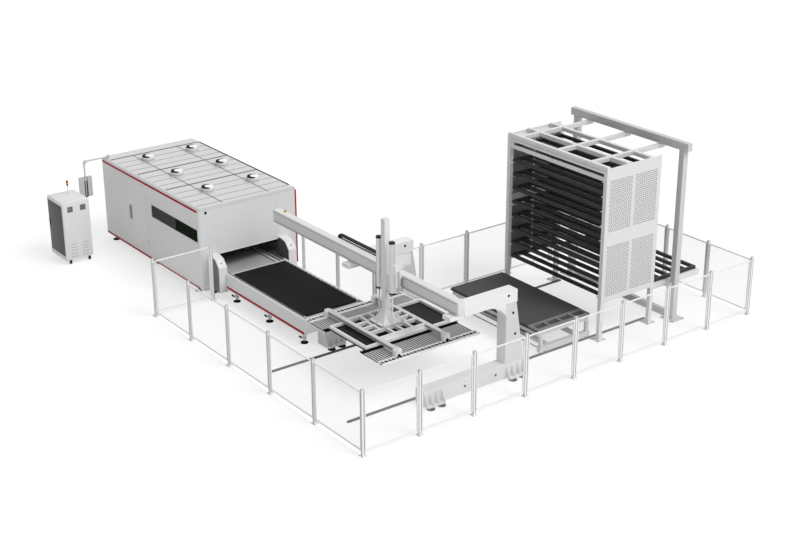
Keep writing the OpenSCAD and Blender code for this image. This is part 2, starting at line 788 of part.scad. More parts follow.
module cabinet_body() color(paint) cell() {
    difference() {
        box([cabinet_x, cabinet_y, cabinet_z], [cabinet_x + cab_w, cabinet_y + cab_d, cabinet_top]);
        for (x = [0.27, 0.74]) translate([cabinet_x + x * cab_w - 75, cabinet_y - 1, cabinet_top - 270])
            for (k = [0:5]) translate([0, 0, k * 26]) cube([150, 16, 14]);
        for (x = [0.3, 0.72], k = [0:4])
            translate([cabinet_x + x * cab_w - 90, cabinet_y - 1, cabinet_z + 120 + k * 40])
                cube([180, 16, 14]);
    }
    for (z = [cabinet_z + 250, cabinet_top - 330])
        knuckle(cabinet_x - cabinet_door_t / 2, cabinet_y, z - knuckle_h - run, cabinet_door_in - door_gap);
    for (y = [cabinet_y + 70, cabinet_y + cab_d - 70], x = [cabinet_x + 130, cabinet_x + cab_w - 100])
        difference() {
            box([x - 40, y - 25, roller_r - 25], [x + 40, y + 25, cabinet_z]);
            box([x - 27, y - 30, 0], [x + 27, y + 30, cabinet_z - 25]);
            translate([x - 50, y, roller_r]) rotate([0, 90, 0]) cylinder(r = axle_r + 0.1, h = 100);
        }
}

module cabinet_door() color(dark) cell() {
    hinge_y = cabinet_y;
    difference() {
        box([cabinet_x - cabinet_door_t, cabinet_y + cabinet_door_in, cabinet_z + 20],
            [cabinet_x - run, cabinet_y + cab_d - cabinet_door_in, cabinet_top - 40]);
        translate([cabinet_x - cabinet_door_t - 1, cabinet_y + cab_d - 130, cabinet_z + 750])
            cube([11, 60, 180]);
    }
    for (z = [cabinet_z + 250, cabinet_top - 330]) {
        translate([cabinet_x - cabinet_door_t / 2, hinge_y, z]) cylinder(r = pin_r, h = knuckle_h);
        box([cabinet_x - cabinet_door_t / 2 - 4, hinge_y, z],
            [cabinet_x - cabinet_door_t / 2 + 4, hinge_y + cabinet_door_in + 1, z + knuckle_h]);
    }
}

// Two rollers on one axle under the cabinet
module roller_pair(y) {
    for (x = [cabinet_x + 130, cabinet_x + cab_w - 100]) {
        translate([x - 25, y, roller_r]) rotate([0, 90, 0]) cylinder(r = roller_r, h = 50);
        translate([x - 48, y, roller_r]) rotate([0, 90, 0]) cylinder(r = axle_r, h = 96);
    }
    translate([cabinet_x + 130, y, roller_r]) rotate([0, 90, 0]) cylinder(r = axle_r - 2, h = cab_w - 230);
}

module roller_front() color(black) cell() roller_pair(cabinet_y + 70);

module roller_rear() color(black) cell() roller_pair(cabinet_y + cab_d - 70);

module stack_light() color("#3a8f4a") cell()
    translate([cabinet_x + cab_w * 0.6, cabinet_y + cab_d * 0.65, cabinet_top]) rotate_extrude()
        polygon([[0, 0], [40, 0], [40, 8], [11, 12], [11, 230], [30, 236], [30, 335], [26, 340],
            [30, 345], [30, 430], [22, 442], [0, 446]]);

// Swing arm from the roof's corner, with its drop tube
module panel_arm() color(grey) cell() {
    translate([arm_x, arm_y, arm_z - arm_tube / 2]) cylinder(r = arm_hub_r, h = arm_tube + 20);
    box([arm_x - arm_reach, arm_y - arm_tube / 2, arm_z - arm_tube / 2],
        [arm_x, arm_y + arm_tube / 2, arm_z + arm_tube / 2]);
    translate([arm_x - arm_reach, arm_y, arm_z - drop_h])
        cylinder(r = arm_tube / 2, h = drop_h + arm_tube / 2);
}

// Panel box that turns on the drop tube, its screen turned from the cabin's front
module panel_box() color(grey) cell()
    translate([arm_x - arm_reach, arm_y, arm_z - drop_h - run]) {
        translate([0, 0, -30]) cylinder(r = 45, h = 30);
        rotate([0, 0, 35]) translate([-200, -80, -30]) {
            difference() {
                translate([0, 0, -panel_h]) cube([400, 150, panel_h]);
                translate([40, 142, -panel_h * 0.62]) cube([320, 20, panel_h * 0.5]);
                translate([40, 142, -panel_h * 0.93]) cube([320, 20, panel_h * 0.22]);
            }
            translate([165, -40, -panel_h]) cube([70, 41, panel_h]);
        }
    }

// Base beam with shims, foot plates and ribs on its near side
module loader_bases() color(paint) cell() for (y = frames) {
    box([base_x, y, base_shim], [column_x1, y + frame_d, base_top]);
    for (x = [base_x + 100, column_x1 - 300])
        box([x, y + frame_d - 120, 0], [x + 200, y + frame_d, base_shim + 1]);
    for (x = [base_x, column_x1 - bracket_w]) {
        box([x, y - bracket_d, bracket_z], [x + bracket_w, y - seam, bracket_z + 20]);
        for (k = [0:3]) plate_yz(x + k * (bracket_w - rib_t) / 3, rib_t,
            [[y - seam, bracket_z + 1], [y - bracket_d + 10, bracket_z + 19], [y - 12, base_top - 70],
             [y - seam, base_top - 70]]);
    }
}

module loader_columns() color(paint) cell() for (y = frames) {
    plate_xz(y, frame_d, [[column_x0, base_top], [column_x1, base_top],
        [column_x0 + column_head, arm_z0 - flange_t], [column_x0, arm_z0 - flange_t]]);
    box([column_x0, y - 10, arm_z0 - flange_t],
        [column_x0 + column_head + 20, y + frame_d + 10, arm_z0]);
}

// Arm with its arched haunch at the column and the shelf under the beam
module loader_arms() color(paint) cell() {
    x0 = column_x0 - haunch_l;
    for (y = frames) {
        box([beam_x1, y, arm_z0], [arm_x1 + 20, y + frame_d, arm_z0 + arm_h]);
        box([shelf_x, y + 20, arm_z0 - 30], [beam_x1 + 1, y + frame_d - 20, beam_z]);
        difference() {
            box([x0, y + haunch_in, arm_z0 - haunch_h], [column_x0, y + frame_d - haunch_in, arm_z0 + 1]);
            translate([x0, y, arm_z0 + 2 - arch_r]) rotate([-90, 0, 0]) cylinder(r = arch_r, h = frame_d);
            box([column_x0 - seam, y, arm_z0 - flange_t - seam], [column_x0 + 1, y + frame_d, arm_z0 + 1]);
        }
    }
}

module beam() color("#d3d3d1") cell()
    box([beam_x0, frame_y, beam_z], [beam_x1, frame_y + beam_l, beam_z + beam_h]);

// Energy chain in its trough behind the beam, folded over at the far end
module energy_chain() color(black) cell() {
    y0 = mast_y + chain_near;
    y1 = mast_y + chain_far;
    z0 = arm_z0 + arm_h + trough_t;
    x0 = beam_x1 + chain_out;
    turn = chain_r + chain_t;
    box([beam_x1, y0, z0 - trough_t], [x0 + chain_w + trough_lip, y1 + turn, z0]);
    box([x0, y0, z0], [x0 + chain_w, y1, z0 + chain_t]);
    box([x0, y0, z0 + turn + chain_r], [x0 + chain_w, y1, z0 + 2 * turn]);
    intersection() {
        translate([x0, y1, z0 + turn]) rotate([0, 90, 0]) difference() {
            cylinder(r = turn, h = chain_w);
            translate([0, 0, -1]) cylinder(r = chain_r, h = chain_w + 2);
        }
        box([x0, y1, z0], [x0 + chain_w, y1 + turn, z0 + 2 * turn]);
    }
}

// Carriage on the beam's guides, with the mast's sleeve, the cylinder saddles and the chain's bracket
module beam_carriage() color(paint) cell() {
    box([carr_x0, mast_y - carr_w / 2, carr_z0], [carr_x1, mast_y + carr_w / 2, carr_z1]);
    for (z = [beam_z + guide_in, beam_z + beam_h - guide_in])
        box([carr_x1 - 1, mast_y - carr_w / 2, max(z - 35, carr_z0)],
            [beam_x0 - guide_t - run, mast_y + carr_w / 2, z + 35]);
    difference() {
        box([feed_x - mast_w / 2, mast_y - sleeve_half, carr_z0],
            [carr_x0 + 1, mast_y + sleeve_half, carr_z1]);
        box([feed_x - mast_w, mast_y - mast_w / 2 - run, 0],
            [feed_x + mast_w / 2 + run, mast_y + mast_w / 2 + run, mast_top]);
    }
    for (s = [-1, 1]) difference() {
        translate([feed_x, mast_y + s * (sleeve_half + cyl_y) / 2, carr_z0 + 80])
            cube([saddle_w, cyl_y - sleeve_half + 2, saddle_h], center = true);
        translate([feed_x, mast_y + s * cyl_y, 0]) cylinder(d = cyl_d + 2 * run, h = mast_top);
    }
    bracket_x = beam_x1 + chain_out - 10;
    bracket_x1 = bracket_x + chain_w + 110;
    over = beam_z + beam_h + bracket_gap;
    low = arm_z0 + arm_h + trough_t + 2 * (chain_r + chain_t) + bracket_gap;
    plate_xz(mast_y + carr_w / 2 - bracket_t, bracket_t, [[carr_x0 + 1, over], [bracket_x, over],
        [bracket_x, low], [bracket_x1, low], [bracket_x1, low + bracket_h - bracket_cut],
        [bracket_x1 - bracket_cut, low + bracket_h], [beam_x0, low + bracket_h],
        [carr_x0 + 1, low + bracket_h / 2]]);
}

// Balance cylinders beside the mast, closed by caps with a rod hole below
module balance_cylinders() color("#d8d8d6") cell() for (s = [-1, 1])
    translate([feed_x, mast_y + s * cyl_y, 0]) difference() {
        union() {
            translate([0, 0, cyl_z0]) cylinder(d = cyl_d, h = cyl_z1 - cyl_z0);
            for (z = [cyl_z0, cyl_z1 - cap_h]) translate([0, 0, z]) cylinder(d = cyl_d + 14, h = cap_h);
            translate([0, 0, cyl_z0 + 700]) cylinder(d = cyl_d + 14, h = 20);
        }
        translate([0, 0, cyl_z0 + cap_h])
            cylinder(d = cyl_d - 2 * cyl_wall, h = cyl_z1 - cyl_z0 - 2 * cap_h);
        translate([0, 0, cyl_z0 - 1]) cylinder(r = rod_r + run, h = cap_h + 2);
    }

// Mast with its foot plate, the cone that stiffens it and the two cylinder rods
module mast() color("#d3d3d1") cell() translate([feed_x, mast_y, 0]) {
    box([-mast_w / 2, -mast_w / 2, mast_foot + plate_t - 1], [mast_w / 2, mast_w / 2, mast_top]);
    box([-plate_half, -plate_half, mast_foot], [plate_half, plate_half, mast_foot + plate_t]);
    hull() {
        translate([0, 0, mast_foot + plate_t - 1])
            box([-cone_half, -cone_half, 0], [cone_half, cone_half, 5]);
        translate([0, 0, mast_foot + cone_h])
            box([-mast_w / 2, -mast_w / 2, -1], [mast_w / 2, mast_w / 2, 0]);
    }
    for (s = [-1, 1]) translate([0, s * cyl_y, mast_foot + plate_t - 1])
        cylinder(r = rod_r, h = rod_top - mast_foot - plate_t + 1);
}

// Gripper frame: slew ring, guide tubes, the bars between them and the outer frame below
module gripper_frame() color(paint) cell() translate([feed_x, mast_y, ring_z1]) {
    half = held_w / 2;
    inner = plate_half - grip_bar;
    translate([0, 0, grip_h - 1]) cylinder(r = slew_r, h = plate_t + 1 - run);
    for (y = [-half, half - grip_bar]) box([grip_x0, y, -ring_h], [grip_x1, y + grip_bar, 1]);
    for (x = [grip_x0, grip_x1 - grip_bar]) box([x, -half, -ring_h], [x + grip_bar, half, 0]);
    for (s = [-1, 1]) translate([s * guide_half - guide_tube / 2, -guide_l / 2, 0])
        cube([guide_tube, guide_l, grip_h]);
    for (y = [-half + grip_bar, -inner - grip_bar, inner, half - 2 * grip_bar])
        box([-guide_half, y, 0], [guide_half, y + grip_bar, grip_h]);
    for (x = [-inner, 20, inner + 40]) box([x, -half + grip_bar, 0], [x + grip_bar, -inner, grip_h]);
    for (x = [-inner - 100, -90, inner - grip_bar])
        box([x, inner, 0], [x + grip_bar, half - grip_bar, grip_h]);
    for (x = [-inner - 150, -inner, inner - grip_bar, inner + 130])
        box([x, -inner, 0], [x + grip_bar, inner, grip_h]);
    box([-guide_half, -30, 0], [guide_half, 30, grip_h]);
}

// Suction cups under the gripper's outer frame
module suction_cups() color(black) cell() translate([feed_x, mast_y, held_z1]) {
    half = held_w / 2 - grip_bar / 2;
    for (y = [-half + 15, half - 15], x = [grip_x0 + 60, -guide_half, -200, 200, guide_half, grip_x1 - 60])
        translate([x, y, 0]) cylinder(r1 = cup_r, r2 = cup_r * 0.6, h = cup_h);
}

module held_sheet() color(black) cell()
    translate([feed_x + held_x0, mast_y - held_w / 2, held_z1 - sheet_t]) cube([held_l, held_w, sheet_t]);

// Comb on the near side: two bars, a row of teeth and two shoes on the guide tubes
module comb() {
    n = floor((comb_l - tooth_w) / tooth_pitch);
    z0 = comb_z1 - comb_h;
    for (y = [-comb_y - comb_bar / 2, -comb_y - comb_bar / 2 - 100])
        box([comb_x0, y, z0], [comb_x0 + comb_l, y + (y < -comb_y - comb_bar ? 40 : comb_bar), comb_z1]);
    for (k = [0:n]) box([comb_x0 + k * tooth_pitch, -comb_y - comb_bar / 2 - 70, z0 + tooth_low],
        [comb_x0 + k * tooth_pitch + tooth_w, -tooth_in, z0 + tooth_low + tooth_h]);
    for (s = [-1, 1]) translate([s * guide_half, -comb_y - shoe_l / 2 + 20, comb_z1 - 1]) difference() {
        box([-guide_tube / 2 - shoe_w, 0, 0],
            [guide_tube / 2 + shoe_w, shoe_l, grip_z - 10 - comb_z1 + 1]);
        box([-guide_tube / 2 - run, -1, grip_z - grip_h - run - comb_z1 + 1],
            [guide_tube / 2 + run, shoe_l + 1, grip_z]);
        plate_xz(-1, shoe_l + 2, [[-shoe_leg - 20, 12], [shoe_leg + 20, 12],
            [shoe_leg / 2, grip_z - grip_h - shoe_leg - comb_z1],
            [-shoe_leg / 2, grip_z - grip_h - shoe_leg - comb_z1]]);
    }
}

module comb_near() color(paint) cell() translate([feed_x, mast_y, 0]) comb();

module comb_far() color(paint) cell() translate([feed_x, mast_y, 0]) mirror([0, 1, 0]) comb();

module floor_rails() color("#6d6d6d") cell() for (y = [rail_y, rail_y + rail_gauge])
    box([rail_x0, y - rail_w / 2, 0], [rail_x1, y + rail_w / 2, floor_rail_h]);

// Cart frame: bogie beams over the rails, posts, deck ring and cross beams
module cart_frame() color(paint) cell() {
    x1 = cart_x + cart_w;
    for (y = [rail_y, rail_y + rail_gauge]) {
        difference() {
            box([cart_x + 40, y - 55, bogie_z0], [x1 - 40, y + 55, bogie_z0 + bogie_h]);
            for (x = [cart_x + wheel_in, x1 - wheel_in]) {
                box([x - wheel_r - 15, y - wheel_w / 2 - 5, 0],
                    [x + wheel_r + 15, y + wheel_w / 2 + 5, bogie_z0 + bogie_h - 25]);
                translate([x, y - 80, wheel_z]) rotate([-90, 0, 0]) cylinder(r = axle_r + run, h = 160);
            }
        }
        for (x = [cart_x + 60, x1 - 140])
            box([x, y - 40, bogie_z0 + bogie_h + seam], [x + 80, y + 40, deck_z1 - deck_h - seam]);
    }
    for (x = [cart_x + 30, x1 - 130])
        box([x, cart_y + 20, deck_z1 - deck_h], [x + 100, cart_y + cart_l - 20, deck_z1]);
    for (y = [cart_y + 20, cart_y + cart_l / 2 - 50, cart_y + cart_l - 120])
        box([cart_x + 130 + seam, y, deck_z1 - deck_h], [x1 - 130 - seam, y + 100, deck_z1]);
    for (x = [cart_x + 320, x1 - 400])
        box([x, rail_y + 55 + seam, bogie_z0 + 40],
            [x + 80, rail_y + rail_gauge - 55 - seam, bogie_z0 + bogie_h]);
}

// Two wheels on one axle across the rails
module cart_axle(x) {
    for (y = [rail_y, rail_y + rail_gauge])
        translate([x, y - wheel_w / 2, wheel_z]) rotate([-90, 0, 0])
            cylinder(r = wheel_r - run, h = wheel_w);
    translate([x, rail_y - 70, wheel_z]) rotate([-90, 0, 0]) cylinder(r = axle_r, h = rail_gauge + 140);
}

module cart_axle_front() color(dark) cell() cart_axle(cart_x + wheel_in);

module cart_axle_rear() color(dark) cell() cart_axle(cart_x + cart_w - wheel_in);

module cart_pallet() color(black) cell() translate([cart_x, cart_y, deck_z1])
    ladder(cart_w, cart_l, pallet_t, tray_bar, 3, cart_sheet_y - tray_bar);

module cart_sheet() color("#3a3a3a") cell() box([cart_x + cart_sheet_x, cart_y + cart_sheet_y, cart_top],
    [cart_x + cart_w, cart_y + cart_l - 20, cart_top + sheet_t]);

module anchor_plate(x, y, w) difference() {
    translate([x - w / 2, y - w / 2, 0]) cube([w, w, 15]);
    for (dx = [-1, 1], dy = [-1, 1]) translate([x + dx * (w - 60) / 2, y + dy * (w - 60) / 2, -1])
        cylinder(r = anchor_r, h = 17);
}

// Posts, top frame, tray rails and the hoist frame behind the trays
module tower_frame() color(paint) cell() {
    half = tower_post / 2;
    for (x = [tower_x, tower_x1 - tower_post], y = [tower_y, tower_y1 - tower_post]) {
        anchor_plate(x + half, y + half + (y == tower_y ? plate_in : plate_out), plate_w);
        box([x, y, 14], [x + tower_post, y + tower_post, tower_h]);
    }
    for (y = [tower_y, tower_y1 - tower_post]) {
        box([tower_x + tower_post + seam, y, tower_h - top_bar],
            [tower_x1 - tower_post - seam, y + tower_post, tower_h]);
        side = y == tower_y ? tower_post + seam : -shelf_w - seam;
        for (k = [0:trays - 1]) box([tower_x, y + side, tray_z + k * tray_pitch - shelf_h],
            [tower_x1, y + side + shelf_w, tray_z + k * tray_pitch]);
    }
    for (z = [tower_h - 80, tower_h - 250])
        box([tower_x, tower_y + tower_post + seam, z],
            [tower_x + 70, tower_y1 - tower_post - seam, z + 70]);
    for (x = [tower_x, tower_x + tower_d * 0.35, tower_x + tower_d * 0.77])
        box([x, tower_y, tower_h + seam], [x + top_bar, tower_y1, tower_h + top_bar - seam]);
    for (s = [0.17, 0.5, 0.88]) box([tower_x + 1, tower_y + s * tower_w - top_bar / 2, tower_h + seam],
        [hoist_x + hoist_w, tower_y + s * tower_w + top_bar / 2, tower_h + top_bar - seam]);
    for (y = hoist_y) {
        anchor_plate(hoist_x + hoist_w / 2, y + hoist_w / 2, hoist_plate);
        box([hoist_x, y, 14], [hoist_x + hoist_w, y + hoist_w, tower_h + top_bar - seam]);
    }
    for (y = [hoist_y[0] + hoist_w - 1, hoist_y[1] - 60])
        box([hoist_x, y, lift_z - lift_rail_h - 60], [hoist_x + hoist_w, y + 61, lift_z - lift_rail_h]);
    box([hoist_x, hoist_y[0] - 110, tower_h + top_bar],
        [hoist_x + hoist_w, hoist_y[1] + hoist_w + 110, tower_h + top_bar + hoist_beam_h]);
    reach = (hoist_w + hoist_plate) / 2;
    box([hoist_x + 20, hoist_y[0] + reach, 0], [hoist_x + hoist_w - 20, hoist_y[1] + hoist_w - reach, 160]);
}

// Side panels with four fields of perforations and a bare band between them
module tower_panels() color(paint) cell() {
    holes_x = 5;
    holes_z = 6;
    top = tower_h + 70;
    margin = 110;
    foot = 130;
    head = 300;
    band = 340;
    field_w = (tower_d - 2 * margin - 90) / 2;
    field_h = (top - side_z - foot - head - band) / 2;
    hole = 60;
    for (y = [tower_y - side_t2, tower_y1]) difference() {
        box([tower_x, y, side_z], [tower_x1, y + side_t2, top]);
        for (i = [0, 1], j = [0, 1], a = [0:holes_x - 1], b = [0:holes_z - 1]) {
            x = tower_x + margin + i * (field_w + 90) + (a + 0.5) * field_w / holes_x;
            z = side_z + foot + j * (field_h + band) + (b + 0.5) * field_h / holes_z;
            translate([x - hole / 2, y - 1, z - hole / 2]) cube([hole, side_t2 + 2, hole]);
        }
    }
}

module tray(k) color(black) cell() translate([tray_x, tray_y0, tray_z + k * tray_pitch])
    ladder(tray_d, tray_y1 - tray_y0, tray_h, tray_bar, tray_rails_n, 0);

module tray_1() tray(0);
module tray_2() tray(1);
module tray_3() tray(2);
module tray_4() tray(3);
module tray_5() tray(4);
module tray_6() tray(5);
module tray_7() tray(6);
module tray_8() tray(7);
module tray_9() tray(8);

// Lift platform: side rails, cross beams and shoes on the hoist posts
module lift() color(paint) cell() {
    y0 = tray_y0 - 60;
    y1 = tray_y1 + 60;
    z0 = lift_z - lift_rail_h;
    for (y = [y0, y1 - lift_rail_w]) box([lift_x, y, z0], [lift_x + lift_l, y + lift_rail_w, lift_z]);
    for (x = [lift_x + 60, lift_x + lift_l - 160])
        box([x, y0 + lift_rail_w + seam, z0], [x + 100, y1 - lift_rail_w - seam, z0 + 60]);
    for (s = [0, 1]) {
        y = hoist_y[s];
        difference() {
            box([hoist_x - 60, s == 0 ? y + hoist_w / 2 : y1 - 1, z0],
                [hoist_x + hoist_w + 60, s == 0 ? y0 + 1 : y + hoist_w / 2, lift_z - 20]);
            box([hoist_x - run, y - run, 0], [hoist_x + hoist_w + run, y + hoist_w + run, tower_h]);
        }
    }
}

module lift_tray() color(black) cell() translate([lift_tray_x, tray_y0, lift_z])
    ladder(tray_d, tray_y1 - tray_y0, tray_h, tray_bar, tray_rails_n, 0);

fence_posts();
fence_frames();
fence_sheets();
cabin_base();
cabin_walls();
cabin_roof();
roof_hoods();
red_trim();
side_windows();
entry_guards();
linear_guides();
levelling_feet();
side_door();
bridge();
bridge_carriage();
cutting_head();
table_frame();
pallet_frame();
pallet_slats();
table_sheet();
cabinet_body();
cabinet_door();
roller_front();
roller_rear();
stack_light();
panel_arm();
panel_box();
loader_bases();
loader_columns();
loader_arms();
beam();
energy_chain();
beam_carriage();
balance_cylinders();
mast();
gripper_frame();
suction_cups();
held_sheet();
comb_near();
comb_far();
floor_rails();
cart_frame();
cart_axle_front();
cart_axle_rear();
cart_pallet();
cart_sheet();
tower_frame();
tower_panels();
tray_1();
tray_2();
tray_3();
tray_4();
tray_5();
tray_6();
tray_7();
tray_8();
tray_9();
lift();
lift_tray();
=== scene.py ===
"""Looks of an automatic sheet cutting cell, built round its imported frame.

Lengths are in metres unless a name says mm. The frame is the cell's own: +X from the cutting table to
the storage tower, +Y from the front fence to the cabin's rear, +Z up.
"""
import json
import logging
import math
from dataclasses import dataclass
from enum import Enum
from typing import Callable, Iterable, Sequence

import bmesh
import bpy
from mathutils import Matrix, Vector

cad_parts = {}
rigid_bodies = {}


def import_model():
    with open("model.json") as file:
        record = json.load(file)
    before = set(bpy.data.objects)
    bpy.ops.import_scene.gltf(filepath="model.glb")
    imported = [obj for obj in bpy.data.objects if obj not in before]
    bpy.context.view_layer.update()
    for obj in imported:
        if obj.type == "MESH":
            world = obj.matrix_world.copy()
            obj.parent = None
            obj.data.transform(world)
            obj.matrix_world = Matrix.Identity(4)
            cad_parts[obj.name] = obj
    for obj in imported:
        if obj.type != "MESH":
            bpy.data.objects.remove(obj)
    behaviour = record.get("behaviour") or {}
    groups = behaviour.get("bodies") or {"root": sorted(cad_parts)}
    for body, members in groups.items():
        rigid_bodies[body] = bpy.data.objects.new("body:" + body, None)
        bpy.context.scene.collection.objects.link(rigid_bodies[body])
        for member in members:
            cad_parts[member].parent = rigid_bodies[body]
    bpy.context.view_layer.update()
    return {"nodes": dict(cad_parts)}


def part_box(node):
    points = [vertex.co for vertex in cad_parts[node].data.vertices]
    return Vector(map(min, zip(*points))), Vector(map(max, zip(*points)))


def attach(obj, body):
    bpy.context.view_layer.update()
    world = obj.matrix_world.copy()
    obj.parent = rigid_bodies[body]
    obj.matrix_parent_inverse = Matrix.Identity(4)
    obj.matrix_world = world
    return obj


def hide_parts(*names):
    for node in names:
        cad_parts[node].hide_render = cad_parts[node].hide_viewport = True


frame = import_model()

MM = 0.001
SHARP = math.radians(24)
Point = tuple[float, float, float]
log = logging.getLogger("cell")


class Slot(Enum):
    """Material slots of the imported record."""

    WHITE = "white_paint"
    GREY = "grey_paint"
    DARK = "dark_paint"
    RED = "red_paint"
    CLEAR = "clear_sheet"
    PANE = "tinted_pane"
    STEEL = "steel"
    TUBE = "bright_cylinder"
    BLACK = "black_steel"
    RUBBER = "black_rubber"
    PLASTIC = "black_plastic"
    LAMP = "lamp_plastic"


class Axis(Enum):
    """Row axes, by their index in a point."""

    X = 0
    Y = 1
    Z = 2


def linear(colour: str) -> tuple[float, float, float, float]:
    """Turn an sRGB hex colour into linear RGBA.

    Args:
        colour: The colour as #rrggbb.

    Returns:
        The linear channels with full alpha.
    """
    channels = [int(colour[i:i + 2], 16) / 255 for i in (1, 3, 5)]
    return (*[c / 12.92 if c <= 0.04045 else ((c + 0.055) / 1.055) ** 2.4 for c in channels], 1.0)


def add(tree: bpy.types.NodeTree, kind: str, settings: dict | None = None,
        inputs: dict | None = None) -> bpy.types.Node:
    """Add a node with its settings, values and links.

    Args:
        tree: The node tree that takes the node.
        kind: The node's type name.
        settings: Properties to set on the node.
        inputs: Values or output sockets for the node's inputs, by name or index.

    Returns:
        The new node.
    """
    node = tree.nodes.new(kind)
    for key, value in (settings or {}).items():
        setattr(node, key, value)
    for key, value in (inputs or {}).items():
        if isinstance(value, bpy.types.NodeSocket):
            tree.links.new(value, node.inputs[key])
        else:
            node.inputs[key].default_value = value
    return node


@dataclass(frozen=True)
class Finish:
    """An opaque surface: its colour, its gloss and the drift and grain that the eye finds on it."""

    name: str
    colour: str
    roughness: float
    metallic: float = 0.0
    drift: float = 0.04
    drift_mm: float = 700.0
    gloss_drift: float = 0.05
    grain_mm: float = 6.0
    grain: float = 0.06
    stretch: Point = (1.0, 1.0, 1.0)
    specular: float = 0.5
    alpha: float = 1.0

    def material(self) -> bpy.types.Material:
        """Return the finish's material, made on first use."""
        found = bpy.data.materials.get(self.name)
        if found:
            return found
        made = bpy.data.materials.new(self.name)
        made.use_nodes = True
        tree = made.node_tree
        tree.nodes.clear()
        where = add(tree, "ShaderNodeTexCoord").outputs["Object"]
        spread = add(tree, "ShaderNodeMapping", None, {"Vector": where, "Scale": self.stretch}).outputs[0]
        tone = add(tree, "ShaderNodeTexNoise", None,
                   {"Vector": where, "Scale": 1 / (self.drift_mm * MM), "Detail": 4.0})
        fine = add(tree, "ShaderNodeTexNoise", None,
                   {"Vector": spread, "Scale": 1 / (self.grain_mm * MM), "Detail": 2.0})
        base = linear(self.colour)
        shade = add(tree, "ShaderNodeMix", {"data_type": "RGBA"}, {
            0: tone.outputs["Fac"],
            6: (*[c * (1 - self.drift) for c in base[:3]], 1.0),
            7: (*[min(1.0, c * (1 + self.drift)) for c in base[:3]], 1.0)})
        gloss = add(tree, "ShaderNodeMapRange", None, {
            "Value": fine.outputs["Fac"], "From Min": 0.3, "From Max": 0.7,
            "To Min": self.roughness - self.gloss_drift, "To Max": self.roughness + self.gloss_drift})
        bump = add(tree, "ShaderNodeBump", None, {
            "Height": fine.outputs["Fac"], "Strength": self.grain, "Distance": 0.5 * MM})
        shader = add(tree, "ShaderNodeBsdfPrincipled", None, {
            "Base Color": shade.outputs[2], "Roughness": gloss.outputs["Result"],
            "Normal": bump.outputs["Normal"], "Metallic": self.metallic,
            "Specular IOR Level": self.specular, "Alpha": self.alpha})
        add(tree, "ShaderNodeOutputMaterial", None, {"Surface": shader.outputs[0]})
        return made


# Powder coat is sprayed and baked polyester: satin, with a faint orange peel a few millimetres wide.
WHITE_COAT = Finish("white_powder_coat", "#E4E4E4", 0.45, drift=0.012, grain_mm=5, grain=0.05)
# The same coat on the loader and the fence is a purer white, on the roof and the hoist a greyer one.
BRIGHT_COAT = Finish("bright_powder_coat", "#F2F2F2", 0.45, drift=0.012, grain_mm=5, grain=0.05)
ROOF_COAT = Finish("roof_powder_coat", "#D9D9D9", 0.48, drift=0.012, grain_mm=5, grain=0.05, specular=0.3)
HOIST_COAT = Finish("hoist_powder_coat", "#D0D0D0", 0.48, drift=0.015, grain_mm=5, grain=0.05, specular=0.3)
# The entry's plate is a grey coat, darkened as painted shade for the dim inside of the entry.
ENTRY_SHADED_COAT = Finish("entry_coat_painted_shade", "#B2B2B2", 0.5, drift=0.02, grain_mm=5, grain=0.05, specular=0.2)
GREY_COAT = Finish("grey_powder_coat", "#CBCBCB", 0.46, drift=0.015, grain_mm=5, grain=0.05)
DARK_COAT = Finish("dark_powder_coat", "#585858", 0.5, drift=0.03, grain_mm=5, grain=0.06, specular=0.2)
# Mill-black steel keeps its rolled scale: near black, dull, with a slow cloudy drift.
MILL_BLACK = Finish("mill_black_steel", "#242424", 0.6, drift=0.08, drift_mm=350, grain_mm=9, grain=0.05,
                    specular=0.02)
# The held sheet is the same mill-black steel, painted a little lighter to make up for the gripper's shadow on
# it.
HELD_BLACK_LIGHTENED = Finish("held_mill_steel_lightened", "#2E2E2E", 0.6, drift=0.06, drift_mm=350, grain_mm=9, grain=0.05,
                    specular=0.06)
# Trays are black stove enamel, worn a little grey by the sheets.
TRAY_BLACK = Finish("tray_enamel", "#363636", 0.45, drift=0.08, drift_mm=200, grain_mm=8, grain=0.06,
                    specular=0.2)
# Plate on the cart is the same steel, wiped, so it is a little paler.
CART_PLATE = Finish("wiped_steel_plate", "#585858", 0.55, drift=0.05, drift_mm=500, grain_mm=9, grain=0.04,
                    specular=0.05)
# Bare primer on the cart's pallet and inside the door pull: flat mid grey.
PRIMER = Finish("grey_primer", "#868686", 0.6, drift=0.04, grain_mm=6, grain=0.05, specular=0.3)
# Enamel is brushed on and levels to a gloss.
RED_ENAMEL = Finish("red_enamel", "#AE0D1E", 0.4, drift=0.03, grain_mm=12, grain=0.02, specular=0.05)
# Ground steel carries fine lines along its length, drawn ten times coarser than real so that they show.
GROUND_STEEL = Finish("ground_steel", "#8A8C8F", 0.36, metallic=0.9, drift=0.05, grain_mm=2.0, grain=0.1,
                      stretch=(1.0, 0.02, 1.0))
# Oiled steel keeps a dark film that dulls its highlights.
DARK_STEEL = Finish("oiled_steel", "#5C5D5F", 0.42, metallic=0.8, drift=0.06, grain_mm=3, grain=0.08)
# Guide rail is hardened and oiled: an even dull grey.
GUIDE_STEEL = Finish("oiled_guide_rail", "#BCBEC0", 0.45, metallic=0.25, drift=0.03, grain_mm=4, grain=0.03)
# Anodised tube is drawn aluminium: bright and even, with a soft sheen round the tube.
BRIGHT_TUBE = Finish("anodised_tube", "#D2D3D4", 0.3, metallic=0.6, drift=0.01, gloss_drift=0.01, grain=0.0)
# The roof hoods' caps are near white with little metal: a painted highlight standing for polished domes that
# mirror the white room.
POLISHED_HIGHLIGHT = Finish("polished_steel_painted_highlight", "#FAFAFA", 0.2, metallic=0.2, drift=0.01, gloss_drift=0.02, grain=0.01)
